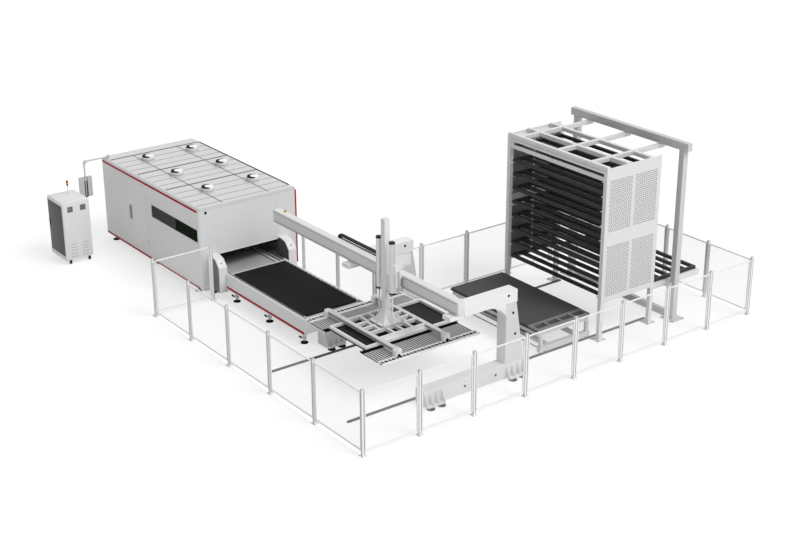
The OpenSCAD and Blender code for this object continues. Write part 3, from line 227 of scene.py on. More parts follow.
# Rubber is moulded and dusty: no gloss, coarse grain.
RUBBER = Finish("moulded_rubber", "#141414", 0.78, drift=0.12, drift_mm=60, grain_mm=2.5, grain=0.2,
                specular=0.15)
# Flat black on the combs is painted shade on the teeth's flanks, in the bar's slots and under the guides; the
# teeth's tips are the same black.
COMB_SHADE_BLACK = Finish("comb_painted_shade", "#101010", 0.8, drift=0.05, grain=0.05, specular=0.0)
# Moulded nylon on caps and chain links is black with a faint sheen.
NYLON = Finish("moulded_nylon", "#191919", 0.52, drift=0.06, drift_mm=80, grain_mm=2, grain=0.1, specular=0.2)
# Laser safety panes: one behind a pale blind, one dark with a green cast, both with a dull anti-glare face.
PANE_GREY = Finish("tinted_pane_grey", "#4E4F4F", 0.3, drift=0.03, grain=0.0, specular=0.0)
PANE_DARK = Finish("tinted_pane_dark", "#222B20", 0.25, drift=0.05, grain=0.0, specular=0.0)
# Display glass is bonded to its panel and nearly black while it is off.
SCREEN = Finish("display_glass", "#10161C", 0.15, drift=0.04, grain=0.0, specular=0.3)
# Polycarbonate is clear and slightly milky at this size.
CLEAR = Finish("clear_polycarbonate", "#F6F8F9", 0.12, drift=0.01, grain=0.0, alpha=0.09)
# Lamp caps are dyed polycarbonate, seen unlit.
LAMP_RED = Finish("lamp_cap_red", "#8E1C18", 0.25, drift=0.04, grain=0.02, specular=0.3)
LAMP_GREEN = Finish("lamp_cap_green", "#1F9A3E", 0.25, drift=0.04, grain=0.02, specular=0.3)
LAMP_AMBER = Finish("lamp_cap_amber", "#C39A2B", 0.25, drift=0.04, grain=0.02, specular=0.3)


class Shape:
    """A mesh under construction, in the cell's frame."""

    def __init__(self, bm: bmesh.types.BMesh | None = None) -> None:
        """Start with an empty mesh, or with one that is there already."""
        self.bm = bmesh.new() if bm is None else bm

    def box(self, lo: Sequence[float], hi: Sequence[float], edge: float = 0.0) -> "Shape":
        """Add a box with rounded edges.

        Args:
            lo: Lowest corner.
            hi: Highest corner.
            edge: Width of the rounding.

        Returns:
            This shape.
        """
        lo, hi = Vector(lo), Vector(hi)
        size = hi - lo
        matrix = Matrix.Translation((lo + hi) / 2) @ Matrix.Diagonal((*size, 1.0))
        made = bmesh.ops.create_cube(self.bm, size=1.0, matrix=matrix)
        if edge > 0:
            edges = {e for v in made["verts"] for e in v.link_edges}
            bmesh.ops.bevel(self.bm, geom=list(edges), offset=min(edge, 0.45 * min(size)), segments=2,
                            profile=0.5, affect="EDGES")
        return self

    def prism(self, outline: Sequence[tuple[float, float]], axis: Axis, start: float, end: float) -> "Shape":
        """Add a flat outline drawn out along an axis.

        Args:
            outline: Corner points in the two other axes, in the order of X, Y, Z.
            axis: Axis of the extrusion.
            start: Place of the first face on that axis.
            end: Place of the last face on that axis.

        Returns:
            This shape.
        """
        rings = [[self.bm.verts.new(self._lift(p, axis, at)) for p in outline] for at in (start, end)]
        return self._skin(rings, capped=True)

    @staticmethod
    def _lift(point: tuple[float, float], axis: Axis, at: float) -> Point:
        """Put a flat point into space at a place on the third axis."""
        full = list(point)
        full.insert(axis.value, at)
        return tuple(full)

    def _skin(self, rings: list[list[bmesh.types.BMVert]], capped: bool = False) -> "Shape":
        """Close the faces from ring to ring.

        Args:
            rings: Corners of each ring, in the same turn; a ring of one corner is a pole.
            capped: True to close the first and the last ring as well.

        Returns:
            This shape.
        """
        faces = [self.bm.faces.new(rings[0]), self.bm.faces.new(rings[-1][::-1])] if capped else []
        for low, high in zip(rings, rings[1:]):
            for k in range(max(len(low), len(high))):
                corners = dict.fromkeys((low[k % len(low)], low[(k + 1) % len(low)],
                                         high[(k + 1) % len(high)], high[k % len(high)]))
                if len(corners) > 2:
                    faces.append(self.bm.faces.new(tuple(corners)))
        bmesh.ops.recalc_face_normals(self.bm, faces=faces)
        return self

    def lathe(self, centre: Sequence[float], profile: Sequence[tuple[float, float]], sides: int = 40,
              axis: Axis = Axis.Z) -> "Shape":
        """Add a turned form.

        Args:
            centre: Foot of the turning axis.
            profile: Radius and height of each corner, from the foot up; an end on the axis is closed.
            sides: Facets round the axis.
            axis: Turning axis.

        Returns:
            This shape.
        """
        turn = {Axis.X: Matrix.Rotation(math.pi / 2, 4, "Y"), Axis.Y: Matrix.Rotation(-math.pi / 2, 4, "X"),
                Axis.Z: Matrix.Identity(4)}[axis]
        stand = Matrix.Translation(Vector(centre)) @ turn
        rings = []
        for radius, height in profile:
            steps = 1 if radius < 1e-9 else sides
            rings.append([self.bm.verts.new(stand @ Vector((radius * math.cos(k * math.tau / sides),
                                                            radius * math.sin(k * math.tau / sides), height)))
                          for k in range(steps)])
        return self._skin(rings)

    def rod(self, start: Sequence[float], end: Sequence[float], radius: float, sides: int = 20) -> "Shape":
        """Add a round bar between two points."""
        start, end = Vector(start), Vector(end)
        along = end - start
        stand = Matrix.Translation((start + end) / 2) @ along.to_track_quat("Z", "Y").to_matrix().to_4x4()
        bmesh.ops.create_cone(self.bm, cap_ends=True, segments=sides, radius1=radius, radius2=radius,
                              depth=along.length, matrix=stand)
        return self

    def bend(self, points: Sequence[Sequence[float]], radius: float, sides: int = 16) -> "Shape":
        """Add a tube along a path.

        Args:
            points: Places on the tube's middle line.
            radius: Outer radius.
            sides: Facets round the tube.

        Returns:
            This shape.
        """
        path = [Vector(p) for p in points]
        rings = []
        for i, at in enumerate(path):
            ahead = (path[min(i + 1, len(path) - 1)] - path[max(i - 1, 0)]).normalized()
            side = ahead.cross(Vector((0, 1, 0)))
            side = side.normalized() if side.length > 1e-6 else Vector((1, 0, 0))
            other = ahead.cross(side)
            rings.append([self.bm.verts.new(at + radius * (math.cos(k * math.tau / sides) * side
                                                           + math.sin(k * math.tau / sides) * other))
                          for k in range(sides)])
        return self._skin(rings, capped=True)

    def mesh(self, name: str) -> bpy.types.Mesh:
        """Close the construction and return it as a mesh."""
        made = bpy.data.meshes.new(name)
        self.bm.to_mesh(made)
        self.bm.free()
        made.shade_smooth()
        made.set_sharp_from_angle(angle=SHARP)
        return made


def link(name: str, mesh: bpy.types.Mesh) -> bpy.types.Object:
    """Put a mesh into the scene as an object at the origin."""
    obj = bpy.data.objects.new(name, mesh)
    bpy.context.scene.collection.objects.link(obj)
    return obj


def settle(obj: bpy.types.Object, body: str, stands_for: Iterable[str] = ()) -> bpy.types.Object:
    """Make a finished piece ride on its body.

    Args:
        obj: The piece.
        body: Body that carries it.
        stands_for: Nodes that the piece replaces.

    Returns:
        The piece.
    """
    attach(obj, body)
    nodes = list(stands_for)
    if nodes:
        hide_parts(*nodes)
    log.info("%s rides on %s, %d faces", obj.name, body, len(obj.data.polygons))
    return obj


def place(name: str, shape: Shape, finish: Finish, body: str,
          stands_for: Iterable[str] = ()) -> bpy.types.Object:
    """Finish a shape as a piece of one material on one body."""
    obj = link(name, shape.mesh(name))
    obj.data.materials.append(finish.material())
    return settle(obj, body, stands_for)


def dress(finish: Finish, *nodes: str) -> None:
    """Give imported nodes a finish, with their shapes as they are."""
    for node in nodes:
        data = frame["nodes"][node].data
        data.materials.clear()
        data.materials.append(finish.material())
        log.info("%s keeps its solid", node)


def merged(node: str) -> bmesh.types.BMesh:
    """Return a node's mesh with its doubles merged and its flat faces joined."""
    bm = bmesh.new()
    bm.from_mesh(frame["nodes"][node].data)
    bmesh.ops.remove_doubles(bm, verts=bm.verts, dist=1e-5)
    bmesh.ops.dissolve_limit(bm, angle_limit=math.radians(1), verts=bm.verts[:], edges=bm.edges[:])
    return bm


def solids(bm: bmesh.types.BMesh) -> list[list[bmesh.types.BMVert]]:
    """Return the corners of each separate solid in a mesh."""
    left = set(bm.verts)
    groups = []
    while left:
        seed = left.pop()
        group, edge = [seed], [seed]
        while edge:
            vert = edge.pop()
            for other in (e.other_vert(vert) for e in vert.link_edges):
                if other in left:
                    left.remove(other)
                    group.append(other)
                    edge.append(other)
        groups.append(group)
    return groups


def boxes(node: str) -> list[tuple[Vector, Vector]]:
    """Return the lowest and highest corner of each solid of a node, in order of X, then Y."""
    bm = merged(node)
    found = []
    for group in solids(bm):
        lo = Vector(min(v.co[i] for v in group) for i in range(3))
        hi = Vector(max(v.co[i] for v in group) for i in range(3))
        found.append((lo, hi))
    bm.free()
    return sorted(found, key=lambda b: (round(b[0].x, 3), round(b[0].y, 3), b[0].z))


def round_edges(node: str, finish: Finish, body: str, edge_mm: float, name: str = "shell",
                keep: Callable[[list[bmesh.types.BMVert]], bool] | None = None) -> bpy.types.Object:
    """Replace a node by a copy whose sharp edges are rounded.

    Args:
        node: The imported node.
        finish: Its finish.
        body: Body that carries it.
        edge_mm: Width of the rounding.
        name: Last word of the piece's name.
        keep: Test that picks the solids to copy by their corners, or None for all of them.

    Returns:
        The new piece.
    """
    bm = merged(node)
    spare = [v for group in solids(bm) if keep and not keep(group) for v in group]
    bmesh.ops.delete(bm, geom=spare, context="VERTS")
    for group in solids(bm):
        edges = {e for v in group for e in v.link_edges
                 if len(e.link_faces) == 2 and e.calc_face_angle(0.0) > SHARP}
        if edges:
            bmesh.ops.bevel(bm, geom=list(edges), offset=edge_mm * MM, segments=2, profile=0.5,
                            affect="EDGES", clamp_overlap=True)
    return place(f"{node}_{name}", Shape(bm), finish, body, [node])


class Grower:
    """A geometry node tree with named inputs that makes what repeats."""

    def __init__(self, name: str) -> None:
        """Start a tree that takes points and gives a mesh."""
        self.tree = bpy.data.node_groups.new(name, "GeometryNodeTree")
        self.tree.interface.new_socket("Geometry", in_out="OUTPUT", socket_type="NodeSocketGeometry")
        self.ids: dict[str, str] = {}
        self.start = add(self.tree, "NodeGroupInput")

    def takes(self, name: str, kind: str) -> bpy.types.NodeSocket:
        """Add a named input and return its socket."""
        socket = self.tree.interface.new_socket(name, in_out="INPUT", socket_type=f"NodeSocket{kind}")
        self.ids[name] = socket.identifier
        return self.start.outputs[name]

    def put(self, kind: str, settings: dict | None = None, inputs: dict | None = None,
            output: int | str = 0) -> bpy.types.NodeSocket:
        """Add a node and return one of its outputs."""
        return add(self.tree, kind, settings, inputs).outputs[output]

    def ends(self, geometry: bpy.types.NodeSocket) -> "Grower":
        """Realize the instances, set the material and close the tree."""
        whole = self.put("GeometryNodeRealizeInstances", None, {"Geometry": geometry})
        painted = self.put("GeometryNodeSetMaterial", None,
                           {"Geometry": whole, "Material": self.takes("Material", "Material")})
        add(self.tree, "NodeGroupOutput", None, {"Geometry": painted})
        return self

    def grow(self, name: str, finish: Finish, values: dict, points: Sequence[Sequence[float]] = (),
             path: bool = False) -> bpy.types.Object:
        """Run the tree and return its result as a plain mesh.

        Args:
            name: Name of the piece.
            finish: Finish of the repeated shape.
            values: Values of the tree's inputs, by name.
            points: Places that the tree repeats its shape at.
            path: True if the points are one path.

        Returns:
            The piece, with no modifier left.
        """
        seed = bpy.data.meshes.new(name)
        edges = [(i, i + 1) for i in range(len(points) - 1)] if path else []
        seed.from_pydata([tuple(p) for p in points], edges, [])
        obj = link(name, seed)
        made = obj.modifiers.new("repeat", "NODES")
        made.node_group = self.tree
        for key, value in {**values, "Material": finish.material()}.items():
            made[self.ids[key]] = value
        graph = bpy.context.evaluated_depsgraph_get()
        grown = bpy.data.meshes.new_from_object(obj.evaluated_get(graph), depsgraph=graph)
        obj.modifiers.remove(made)
        obj.data = grown
        grown.name = name
        grown.shade_smooth()
        grown.set_sharp_from_angle(angle=SHARP)
        return obj


def blocks_tree() -> Grower:
    """Boxes in rows: one step along a row, another from row to row."""
    grower = Grower("blocks")
    start, size = grower.takes("Start", "Vector"), grower.takes("Size", "Vector")
    row = grower.put("GeometryNodeMeshLine", {"mode": "OFFSET"}, {
        "Count": grower.takes("Count", "Int"), "Offset": grower.takes("Step", "Vector")})
    rows = grower.put("GeometryNodeMeshLine", {"mode": "OFFSET"}, {
        "Count": grower.takes("Rows", "Int"), "Offset": grower.takes("Row Step", "Vector"),
        "Start Location": start})
    cube = grower.put("GeometryNodeMeshCube", None, {"Size": size})
    line = grower.put("GeometryNodeInstanceOnPoints", None, {"Points": row, "Instance": cube})
    return grower.ends(grower.put("GeometryNodeInstanceOnPoints", None, {"Points": rows, "Instance": line}))


def studs_tree() -> Grower:
    """Round or six-sided heads on washers, one at each point."""
    grower = Grower("studs")
    points = grower.takes("Points", "Geometry")
    radius, height = grower.takes("Radius", "Float"), grower.takes("Height", "Float")
    head = grower.put("GeometryNodeMeshCylinder", None, {
        "Vertices": grower.takes("Sides", "Int"), "Radius": radius, "Depth": height})
    wide = grower.put("ShaderNodeMath", {"operation": "MULTIPLY"}, {0: radius, 1: 1.45})
    thin = grower.put("ShaderNodeMath", {"operation": "MULTIPLY"}, {0: height, 1: 0.35})
    washer = grower.put("GeometryNodeMeshCylinder", None, {"Vertices": 16, "Radius": wide, "Depth": thin})
    both = add(grower.tree, "GeometryNodeJoinGeometry")
    for part in (head, washer):
        grower.tree.links.new(part, both.inputs[0])
    return grower.ends(grower.put("GeometryNodeInstanceOnPoints", None, {
        "Points": points, "Instance": both.outputs[0], "Rotation": grower.takes("Turn", "Rotation")}))


def perforation_tree() -> Grower:
    """Sheet of cells in rows, each with a slot through it, set off by half a cell in every other row."""
    grower = Grower("perforation")
    cell_w, cell_h = grower.takes("Cell Width", "Float"), grower.takes("Cell Height", "Float")
    slot_w, slot_h = grower.takes("Slot Width", "Float"), grower.takes("Slot Height", "Float")
    thick, shift = grower.takes("Thickness", "Float"), grower.takes("Shift", "Float")
    start = grower.takes("Start", "Vector")

    def sums(operation: str, a: object, b: object) -> bpy.types.NodeSocket:
        """Return one sum of two values."""
        return grower.put("ShaderNodeMath", {"operation": operation}, {0: a, 1: b})

    def bar(x: object, z: object, w: object, h: object) -> bpy.types.NodeSocket:
        """Return one bar of a cell's rim."""
        size = grower.put("ShaderNodeCombineXYZ", None, {"X": w, "Y": thick, "Z": h})
        at = grower.put("ShaderNodeCombineXYZ", None, {"X": x, "Y": 0.0, "Z": z})
        cube = grower.put("GeometryNodeMeshCube", None, {"Size": size})
        return grower.put("GeometryNodeTransform", None, {"Geometry": cube, "Translation": at})

    def cell(off: bpy.types.NodeSocket) -> bpy.types.NodeSocket:
        """Return the rim of one cell with its slot moved sideways."""
        spare = sums("MULTIPLY", sums("SUBTRACT", cell_w, slot_w), 0.5)
        lip = sums("MULTIPLY", sums("SUBTRACT", cell_h, slot_h), 0.5)
        left, right = sums("ADD", spare, off), sums("SUBTRACT", spare, off)
        half_w, half_h = sums("MULTIPLY", cell_w, 0.5), sums("MULTIPLY", cell_h, 0.5)
        rim = add(grower.tree, "GeometryNodeJoinGeometry")
        high = sums("SUBTRACT", half_h, sums("MULTIPLY", lip, 0.5))
        low = sums("MULTIPLY", high, -1.0)
        for part in (bar(0.0, high, cell_w, lip), bar(0.0, low, cell_w, lip),
                     bar(sums("SUBTRACT", sums("MULTIPLY", left, 0.5), half_w), 0.0, left, slot_h),
                     bar(sums("SUBTRACT", half_w, sums("MULTIPLY", right, 0.5)), 0.0, right, slot_h)):
            grower.tree.links.new(part, rim.inputs[0])
        return rim.outputs[0]

    count, rows = grower.takes("Count", "Int"), grower.takes("Row Pairs", "Int")
    across = grower.put("ShaderNodeCombineXYZ", None, {"X": cell_w})
    pair = grower.put("ShaderNodeCombineXYZ", None, {"Z": sums("MULTIPLY", cell_h, 2.0)})
    up = grower.put("ShaderNodeCombineXYZ", None, {"Z": cell_h})
    both = add(grower.tree, "GeometryNodeJoinGeometry")
    for lift, off in ((0.0, shift), (1.0, sums("MULTIPLY", shift, -1.0))):
        place_at = grower.put("ShaderNodeVectorMath", {"operation": "SCALE"}, {0: up, "Scale": lift})
        line = grower.put("GeometryNodeMeshLine", {"mode": "OFFSET"},
                          {"Count": count, "Offset": across, "Start Location": place_at})
        row = grower.put("GeometryNodeInstanceOnPoints", None, {"Points": line, "Instance": cell(off)})
        grower.tree.links.new(row, both.inputs[0])
    stack = grower.put("GeometryNodeMeshLine", {"mode": "OFFSET"},
                       {"Count": rows, "Offset": pair, "Start Location": start})
    return grower.ends(grower.put("GeometryNodeInstanceOnPoints", None,
                                  {"Points": stack, "Instance": both.outputs[0]}))


def ring_tree() -> Grower:
    """Upright fins in a ring, one ring at each point."""
    grower = Grower("ring")
    points = grower.takes("Points", "Geometry")
    ring = grower.put("GeometryNodeMeshCircle", None, {
        "Vertices": grower.takes("Count", "Int"), "Radius": grower.takes("Radius", "Float")})
    outward = grower.put("FunctionNodeAlignRotationToVector", {"axis": "X"},
                         {"Vector": grower.put("GeometryNodeInputPosition")})
    fin = grower.put("GeometryNodeMeshCube", None, {"Size": grower.takes("Size", "Vector")})
    fins = grower.put("GeometryNodeInstanceOnPoints", None,
                      {"Points": ring, "Instance": fin, "Rotation": outward})
    return grower.ends(grower.put("GeometryNodeInstanceOnPoints", None,
                                  {"Points": points, "Instance": fins}))


def links_tree() -> Grower:
    """Chain links along a path, each turned with the path."""
    grower = Grower("links")
    line = grower.put("GeometryNodeMeshToCurve", None, {"Mesh": grower.takes("Path", "Geometry")})
    spots = add(grower.tree, "GeometryNodeCurveToPoints", {"mode": "LENGTH"},
                {"Curve": line, "Length": grower.takes("Pitch", "Float")})
    turned = grower.put("FunctionNodeAlignRotationToVector", {"axis": "Y"},
                        {"Vector": spots.outputs["Tangent"]})
    link_box = grower.put("GeometryNodeMeshCube", None, {"Size": grower.takes("Size", "Vector")})
    return grower.ends(grower.put("GeometryNodeInstanceOnPoints", None, {
        "Points": spots.outputs["Points"], "Instance": link_box, "Rotation": turned}))


@dataclass
class Kit:
    """The trees that the stations share."""

    blocks: Grower
    studs: Grower
    perforation: Grower
    ring: Grower
    links: Grower

    @classmethod
    def make(cls) -> "Kit":
        """Build every tree once."""
        return cls(blocks_tree(), studs_tree(), perforation_tree(), ring_tree(), links_tree())

    def bolts(self, name: str, points: Sequence[Sequence[float]], body: str, facing: Axis = Axis.Z,
              radius: float = 0.012, height: float = 0.012, sides: int = 6, finish: Finish = GROUND_STEEL,
              slot: Slot = Slot.STEEL) -> bpy.types.Object:
        """Set bolt heads at points.

        Args:
            name: Name of the piece.
            points: Middles of the heads.
            body: Body that carries them.
            facing: Axis that the bolts run along.
            radius: Radius of a head.
            height: Height of a head.
            sides: Sides of a head.
            finish: Finish of the heads.
            slot: Record slot of the finish; not used.

        Returns:
            The piece.
        """
        turn = {Axis.X: (0.0, math.pi / 2, 0.0), Axis.Y: (math.pi / 2, 0.0, 0.0), Axis.Z: (0.0, 0.0, 0.0)}
        obj = self.studs.grow(name, finish, {"Radius": radius, "Height": height, "Sides": sides,
                                             "Turn": turn[facing]}, points)
        return settle(obj, body)

    def row(self, name: str, finish: Finish, body: str, slot: Slot, start: Sequence[float],
            size: Sequence[float], step: Sequence[float], count: int, row_step: Sequence[float] = (0, 0, 0),
            rows: int = 1) -> bpy.types.Object:
        """Set boxes in rows.

        Args:
            name: Name of the piece.
            finish: Finish of the boxes.
            body: Body that carries them.
            slot: Record slot of the finish; not used.
            start: Middle of the first box.
            size: Size of a box.
            step: Step along a row.
            count: Boxes in a row.
            row_step: Step from row to row.
            rows: Number of rows.

        Returns:
            The piece.
        """
        obj = self.blocks.grow(name, finish, {
            "Start": tuple(start), "Size": tuple(size), "Step": tuple(step), "Count": count,
            "Row Step": tuple(row_step), "Rows": rows})
        return settle(obj, body)


@dataclass
class Fence:
    """Posts, framed clear panels, caps and floor bolts."""

    kit: Kit
    post: float = 0.06
    cap: float = 0.008
    cap_over: float = 0.001
    cap_skirt: float = 0.012
    groove: float = 0.015
    groove_in: float = 0.005
    groove_proud: float = 0.0006
    groove_foot: float = 0.03
    groove_head: float = 0.02
    bolt_out: float = 0.046
    bolt_z: float = 0.012

    def build(self) -> None:
        """Dress the fence."""
        round_edges("fence_posts", BRIGHT_COAT, "cell", 5)
        round_edges("fence_frames", BRIGHT_COAT, "cell", 6)
        dress(CLEAR, "fence_sheets")
        tops = [Vector((*((lo + hi) / 2).xy, hi.z)) for lo, hi in boxes("fence_posts")]
        self.caps(tops)
        self.groove_shades(tops)
        spots = [(top.x + sx * self.bolt_out, top.y + sy * self.bolt_out, self.bolt_z)
                 for top in tops for sx in (-1, 1) for sy in (-1, 1)]
        self.kit.bolts("fence_bolts", spots, "cell", radius=0.008, height=0.009)

    def caps(self, tops: list[Vector]) -> None:
        """Press a flat cap on each post.

        Args:
            tops: Middles of the posts' upper ends.
        """
        half = self.post / 2 + self.cap_over
        caps = Shape()
        for top in tops:
            caps.box(top - Vector((half, half, self.cap_skirt)), top + Vector((half, half, self.cap)), 0.004)
        place("fence_caps", caps, GREY_COAT, "cell")

    def groove_shades(self, tops: list[Vector]) -> None:
        """Paint the shade in the groove beside one edge of each of a post's four faces, as a thin grey strip.

        Args:
            tops: Middles of the posts' upper ends.
        """
        face = self.post / 2 + self.groove_proud
        outer = self.post / 2 - self.groove_in
        groove_shades = Shape()
        for top in tops:
            for side in (-1, 1):
                flat = sorted((side * (face - 0.001), side * face))
                edge = sorted((-side * (outer - self.groove), -side * outer))
                for xs, ys in ((flat, edge), (edge, flat)):
                    groove_shades.box((top.x + xs[0], top.y + ys[0], self.groove_foot),
                                (top.x + xs[1], top.y + ys[1], top.z - self.groove_head))
        place("post_groove_shades", groove_shades, PRIMER, "cell")


@dataclass
class Cabin:
    """Cutting cabin: walls, roof, hoods, panes, trim, entry and what shows inside it."""

    kit: Kit
    wall: float = 0.052
    roof_edge: float = 0.08
    bay_start: float = 0.22
    bay_spare: float = 0.64
    bays: int = 3
    ribs: int = 3
    seam: float = 0.058
    long_seam: float = 0.0232
    long_seams: tuple[float, float] = (0.26, 0.73)
    rib_shadow_w: float = 0.02
    trim_grow: float = 0.008
    trim_out: float = 0.064
    base_taper: float = 0.16
    rail_drop: float = 0.001
    hood_facets: int = 48
    curtain_strips: int = 24
    track: float = 0.065
    plate_reach: float = 1.5
    guard_chest: float = 0.233
    guard_slope: float = 0.163
    guard_shoulder: float = 0.042
    guard_crown: float = 0.336
    tall_foot: float = 0.2

    def __post_init__(self) -> None:
        """Read the cabin's boxes from the frame."""
        self.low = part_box("cabin_walls")[0].z
        self.roof_lo, self.roof_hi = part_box("cabin_roof")
        self.guards = boxes("entry_guards")
        self.entry_x = (self.guards[0][1].x + 0.005, self.guards[1][0].x - 0.005)
        self.entry_top = self.guards[0][1].z - 0.054
        self.front = self.roof_lo.y
        self.left = self.roof_lo.x
        self.width = self.roof_hi.x - self.roof_lo.x
        self.length = self.roof_hi.y - self.roof_lo.y
        self.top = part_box("roof_hoods")[0].z - 0.006

    def build(self) -> None:
        """Dress the cabin."""
        round_edges("cabin_walls", WHITE_COAT, "cell", 4)
        round_edges("side_door", WHITE_COAT, "side_door", 4)
        round_edges("entry_guards", WHITE_COAT, "cell", 9)
        round_edges("bridge", GREY_COAT, "bridge", 5)
        round_edges("bridge_carriage", WHITE_COAT, "bridge_carriage", 5)
        dress(BRIGHT_TUBE, "cutting_head")
        dress(GUIDE_STEEL, "linear_guides")
        self.base()
        dress(ROOF_COAT, "cabin_roof")
        self.roof_lines()
        self.hoods()
        self.trim()
        self.panes()
        self.pull()
        self.lining()
        self.curtain()
        self.tracks()
        self.entry()
        self.feet()

    def roof_lines(self) -> None:
        """Lay dark gaskets in the roof's seams, thin ones lengthwise, and grey strips beside its ribs as
        painted shadow.
        """
        left, right = self.left + self.roof_edge, self.left + self.width - self.roof_edge
        first, bay = self.front + self.bay_start, (self.length - self.bay_spare) / self.bays
        low, nudge = self.top - 0.005, 0.007
        lines = Shape()
        for i in range(1, self.bays + 1):
            y = first + i * bay + nudge
            lines.box((left, y - self.seam / 2, low), (right, y + self.seam / 2, self.top + 0.004), 0.002)
        for share in self.long_seams:
            x = self.left + share * self.width + nudge
            lines.box((x - self.long_seam / 2, self.front + 0.1, low),
                      (x + self.long_seam / 2, self.front + self.length - 0.42, self.top + 0.0045), 0.002)
        place("roof_gaskets", lines, DARK_COAT, "cell")
        gutter = Shape().box((right - self.seam / 4, first, low),
                             (right + self.seam / 2, first + self.bays * bay, self.top + 0.006), 0.002)
        place("roof_gutter", gutter, RUBBER, "cell")
        per_bay = self.ribs + 1
        # Grey strips beside the ribs are painted shadow, the shade that each rib casts.
        rib_shadows = Shape()
        for n in range(self.bays * per_bay):
            y = first + n * bay / per_bay - self.rib_shadow_w
            if n == 0 or n % per_bay:
                rib_shadows.box((left, y - self.rib_shadow_w / 2, self.top - 0.001),
                           (right, y + self.rib_shadow_w / 2, self.top + 0.003), 0.001)
        place("roof_rib_shadows", rib_shadows, PRIMER, "cell")

    def base(self) -> None:
        """Draw the base's foot inwards under the walls, and its rails a hair under the pallet."""
        lo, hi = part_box("cabin_base")
        bm = merged("cabin_base")
        rail_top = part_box("pallet_frame")[0].z
        for vert in bm.verts:
            if abs(vert.co.z - rail_top) < self.rail_drop / 2:
                vert.co.z -= self.rail_drop
            if vert.co.z < lo.z + 0.001:
                for i in (Axis.X.value, Axis.Y.value):
                    vert.co[i] = min(max(vert.co[i], lo[i] + self.base_taper), hi[i] - self.base_taper)
        place("cabin_foot", Shape(bm), GREY_COAT, "cell", ["cabin_base"])

    def trim(self) -> None:
        """Set the red strips, standing a little over their grooves."""
        strips = Shape()
        grow = Vector((0.0, 0.0, self.trim_grow))
        for lo, hi in boxes("red_trim"):
            upright = hi.z - lo.z > 1.0
            shift = Vector((self.trim_out, 0.0, 0.0)) if upright else Vector()
            strips.box(lo - grow + shift, hi + grow + shift, 0.003)
        place("trim_strips", strips, RED_ENAMEL, "cell", ["red_trim"])

    def hoods(self) -> None:
        """Turn the six roof hoods: flange and drum with fins, topped by a black disc and a near-white cap
        beside it, painted reflection for the dark and the bright side of a polished dome.
        """
        middles = [((lo + hi) / 2, lo.z, (hi.x - lo.x) / 2) for lo, hi in boxes("roof_hoods")]
        flanges, drums, dark_crescents, caps = Shape(), Shape(), Shape(), Shape()
        drum, sides = 0.86 * middles[0][2], self.hood_facets
        for mid, foot, r in middles:
            at = (mid.x, mid.y, foot)
            flanges.lathe(at, [(0, 0), (r, 0), (r, 0.006), (r * 0.97, 0.01), (0, 0.01)], sides)
            drums.lathe(at, [(0, 0.09), (drum * 0.8, 0.09), (drum * 0.86, 0.1), (drum * 0.92, 0.094),
                             (drum * 0.96, 0.06), (drum, 0.05), (drum, 0.008), (0, 0.008)], sides)
            # Painted reflection: the black disc stands for the dark side of the dome's reflection, the
            # near-white cap for its bright side.
            dark_crescents.lathe((mid.x - 0.008, mid.y + 0.006, foot + 0.09),
                          [(0, 0), (drum * 0.82, 0), (drum * 0.82, 0.038), (drum * 0.78, 0.042), (0, 0.042)],
                          sides)
            caps.lathe((mid.x + 0.03, mid.y - 0.034, foot + 0.094),
                       [(0, 0), (drum * 0.66, 0), (drum * 0.66, 0.038), (drum * 0.6, 0.041), (0, 0.043)],
                       sides)
        place("hood_flanges", flanges, ROOF_COAT, "cell", ["roof_hoods"])
        place("hood_drums", drums, HOIST_COAT, "cell")
        place("hood_dark_reflection", dark_crescents, RUBBER, "cell")
        place("hood_highlight_caps", caps, POLISHED_HIGHLIGHT, "cell")
        fins = self.kit.ring.grow("hood_fins", PRIMER, {
            "Count": 28, "Radius": drum, "Size": (0.006, 0.01, 0.036)},
            [(mid.x, mid.y, foot + 0.03) for mid, foot, _ in middles])
        settle(fins, "cell")

    def panes(self) -> None:
        """Set the two side panes in a white rim with a dark post between them."""
        front_pane, rear_pane = boxes("side_windows")
        slim, rim = 0.008, 0.024
        for name, pane, finish, nodes in (("pane_front", front_pane, PANE_DARK, ["side_windows"]),
                                          ("pane_rear", rear_pane, PANE_GREY, [])):
            place(name, Shape().box(*pane, 0.001), finish, "cell", nodes)
        lo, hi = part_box("side_windows")
        bezel = Shape()
        for z in (lo.z - rim / 2, hi.z - rim / 2):
            bezel.box((lo.x - slim * 2, lo.y - rim / 2, z), (lo.x, hi.y + rim / 2, z + rim), 0.003)
        for y in (lo.y - rim / 2, hi.y - rim / 2):
            bezel.box((lo.x - slim * 2, y, lo.z), (lo.x, y + rim, hi.z), 0.003)
        place("pane_bezel", bezel, WHITE_COAT, "cell")
        y = front_pane[1].y
        post = Shape().box((lo.x - slim, y - rim / 2, lo.z), (lo.x, y + rim / 2, hi.z), 0.002)
        place("pane_post", post, RUBBER, "cell")

    def pull(self) -> None:
        """Line the recess behind the side door's pull bar."""
        lo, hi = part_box("side_door")
        deep, wide, tall, low, back = 0.0355, 0.12, 0.4, 0.696, 0.096
        y1, z0 = hi.y - back, lo.z + low
        lining = Shape().box((hi.x - deep - 0.001, y1 - wide + 0.003, z0 + 0.003),
                             (hi.x - deep + 0.0003, y1 - 0.003, z0 + tall - 0.003))
        place("pull_recess", lining, PRIMER, "side_door")

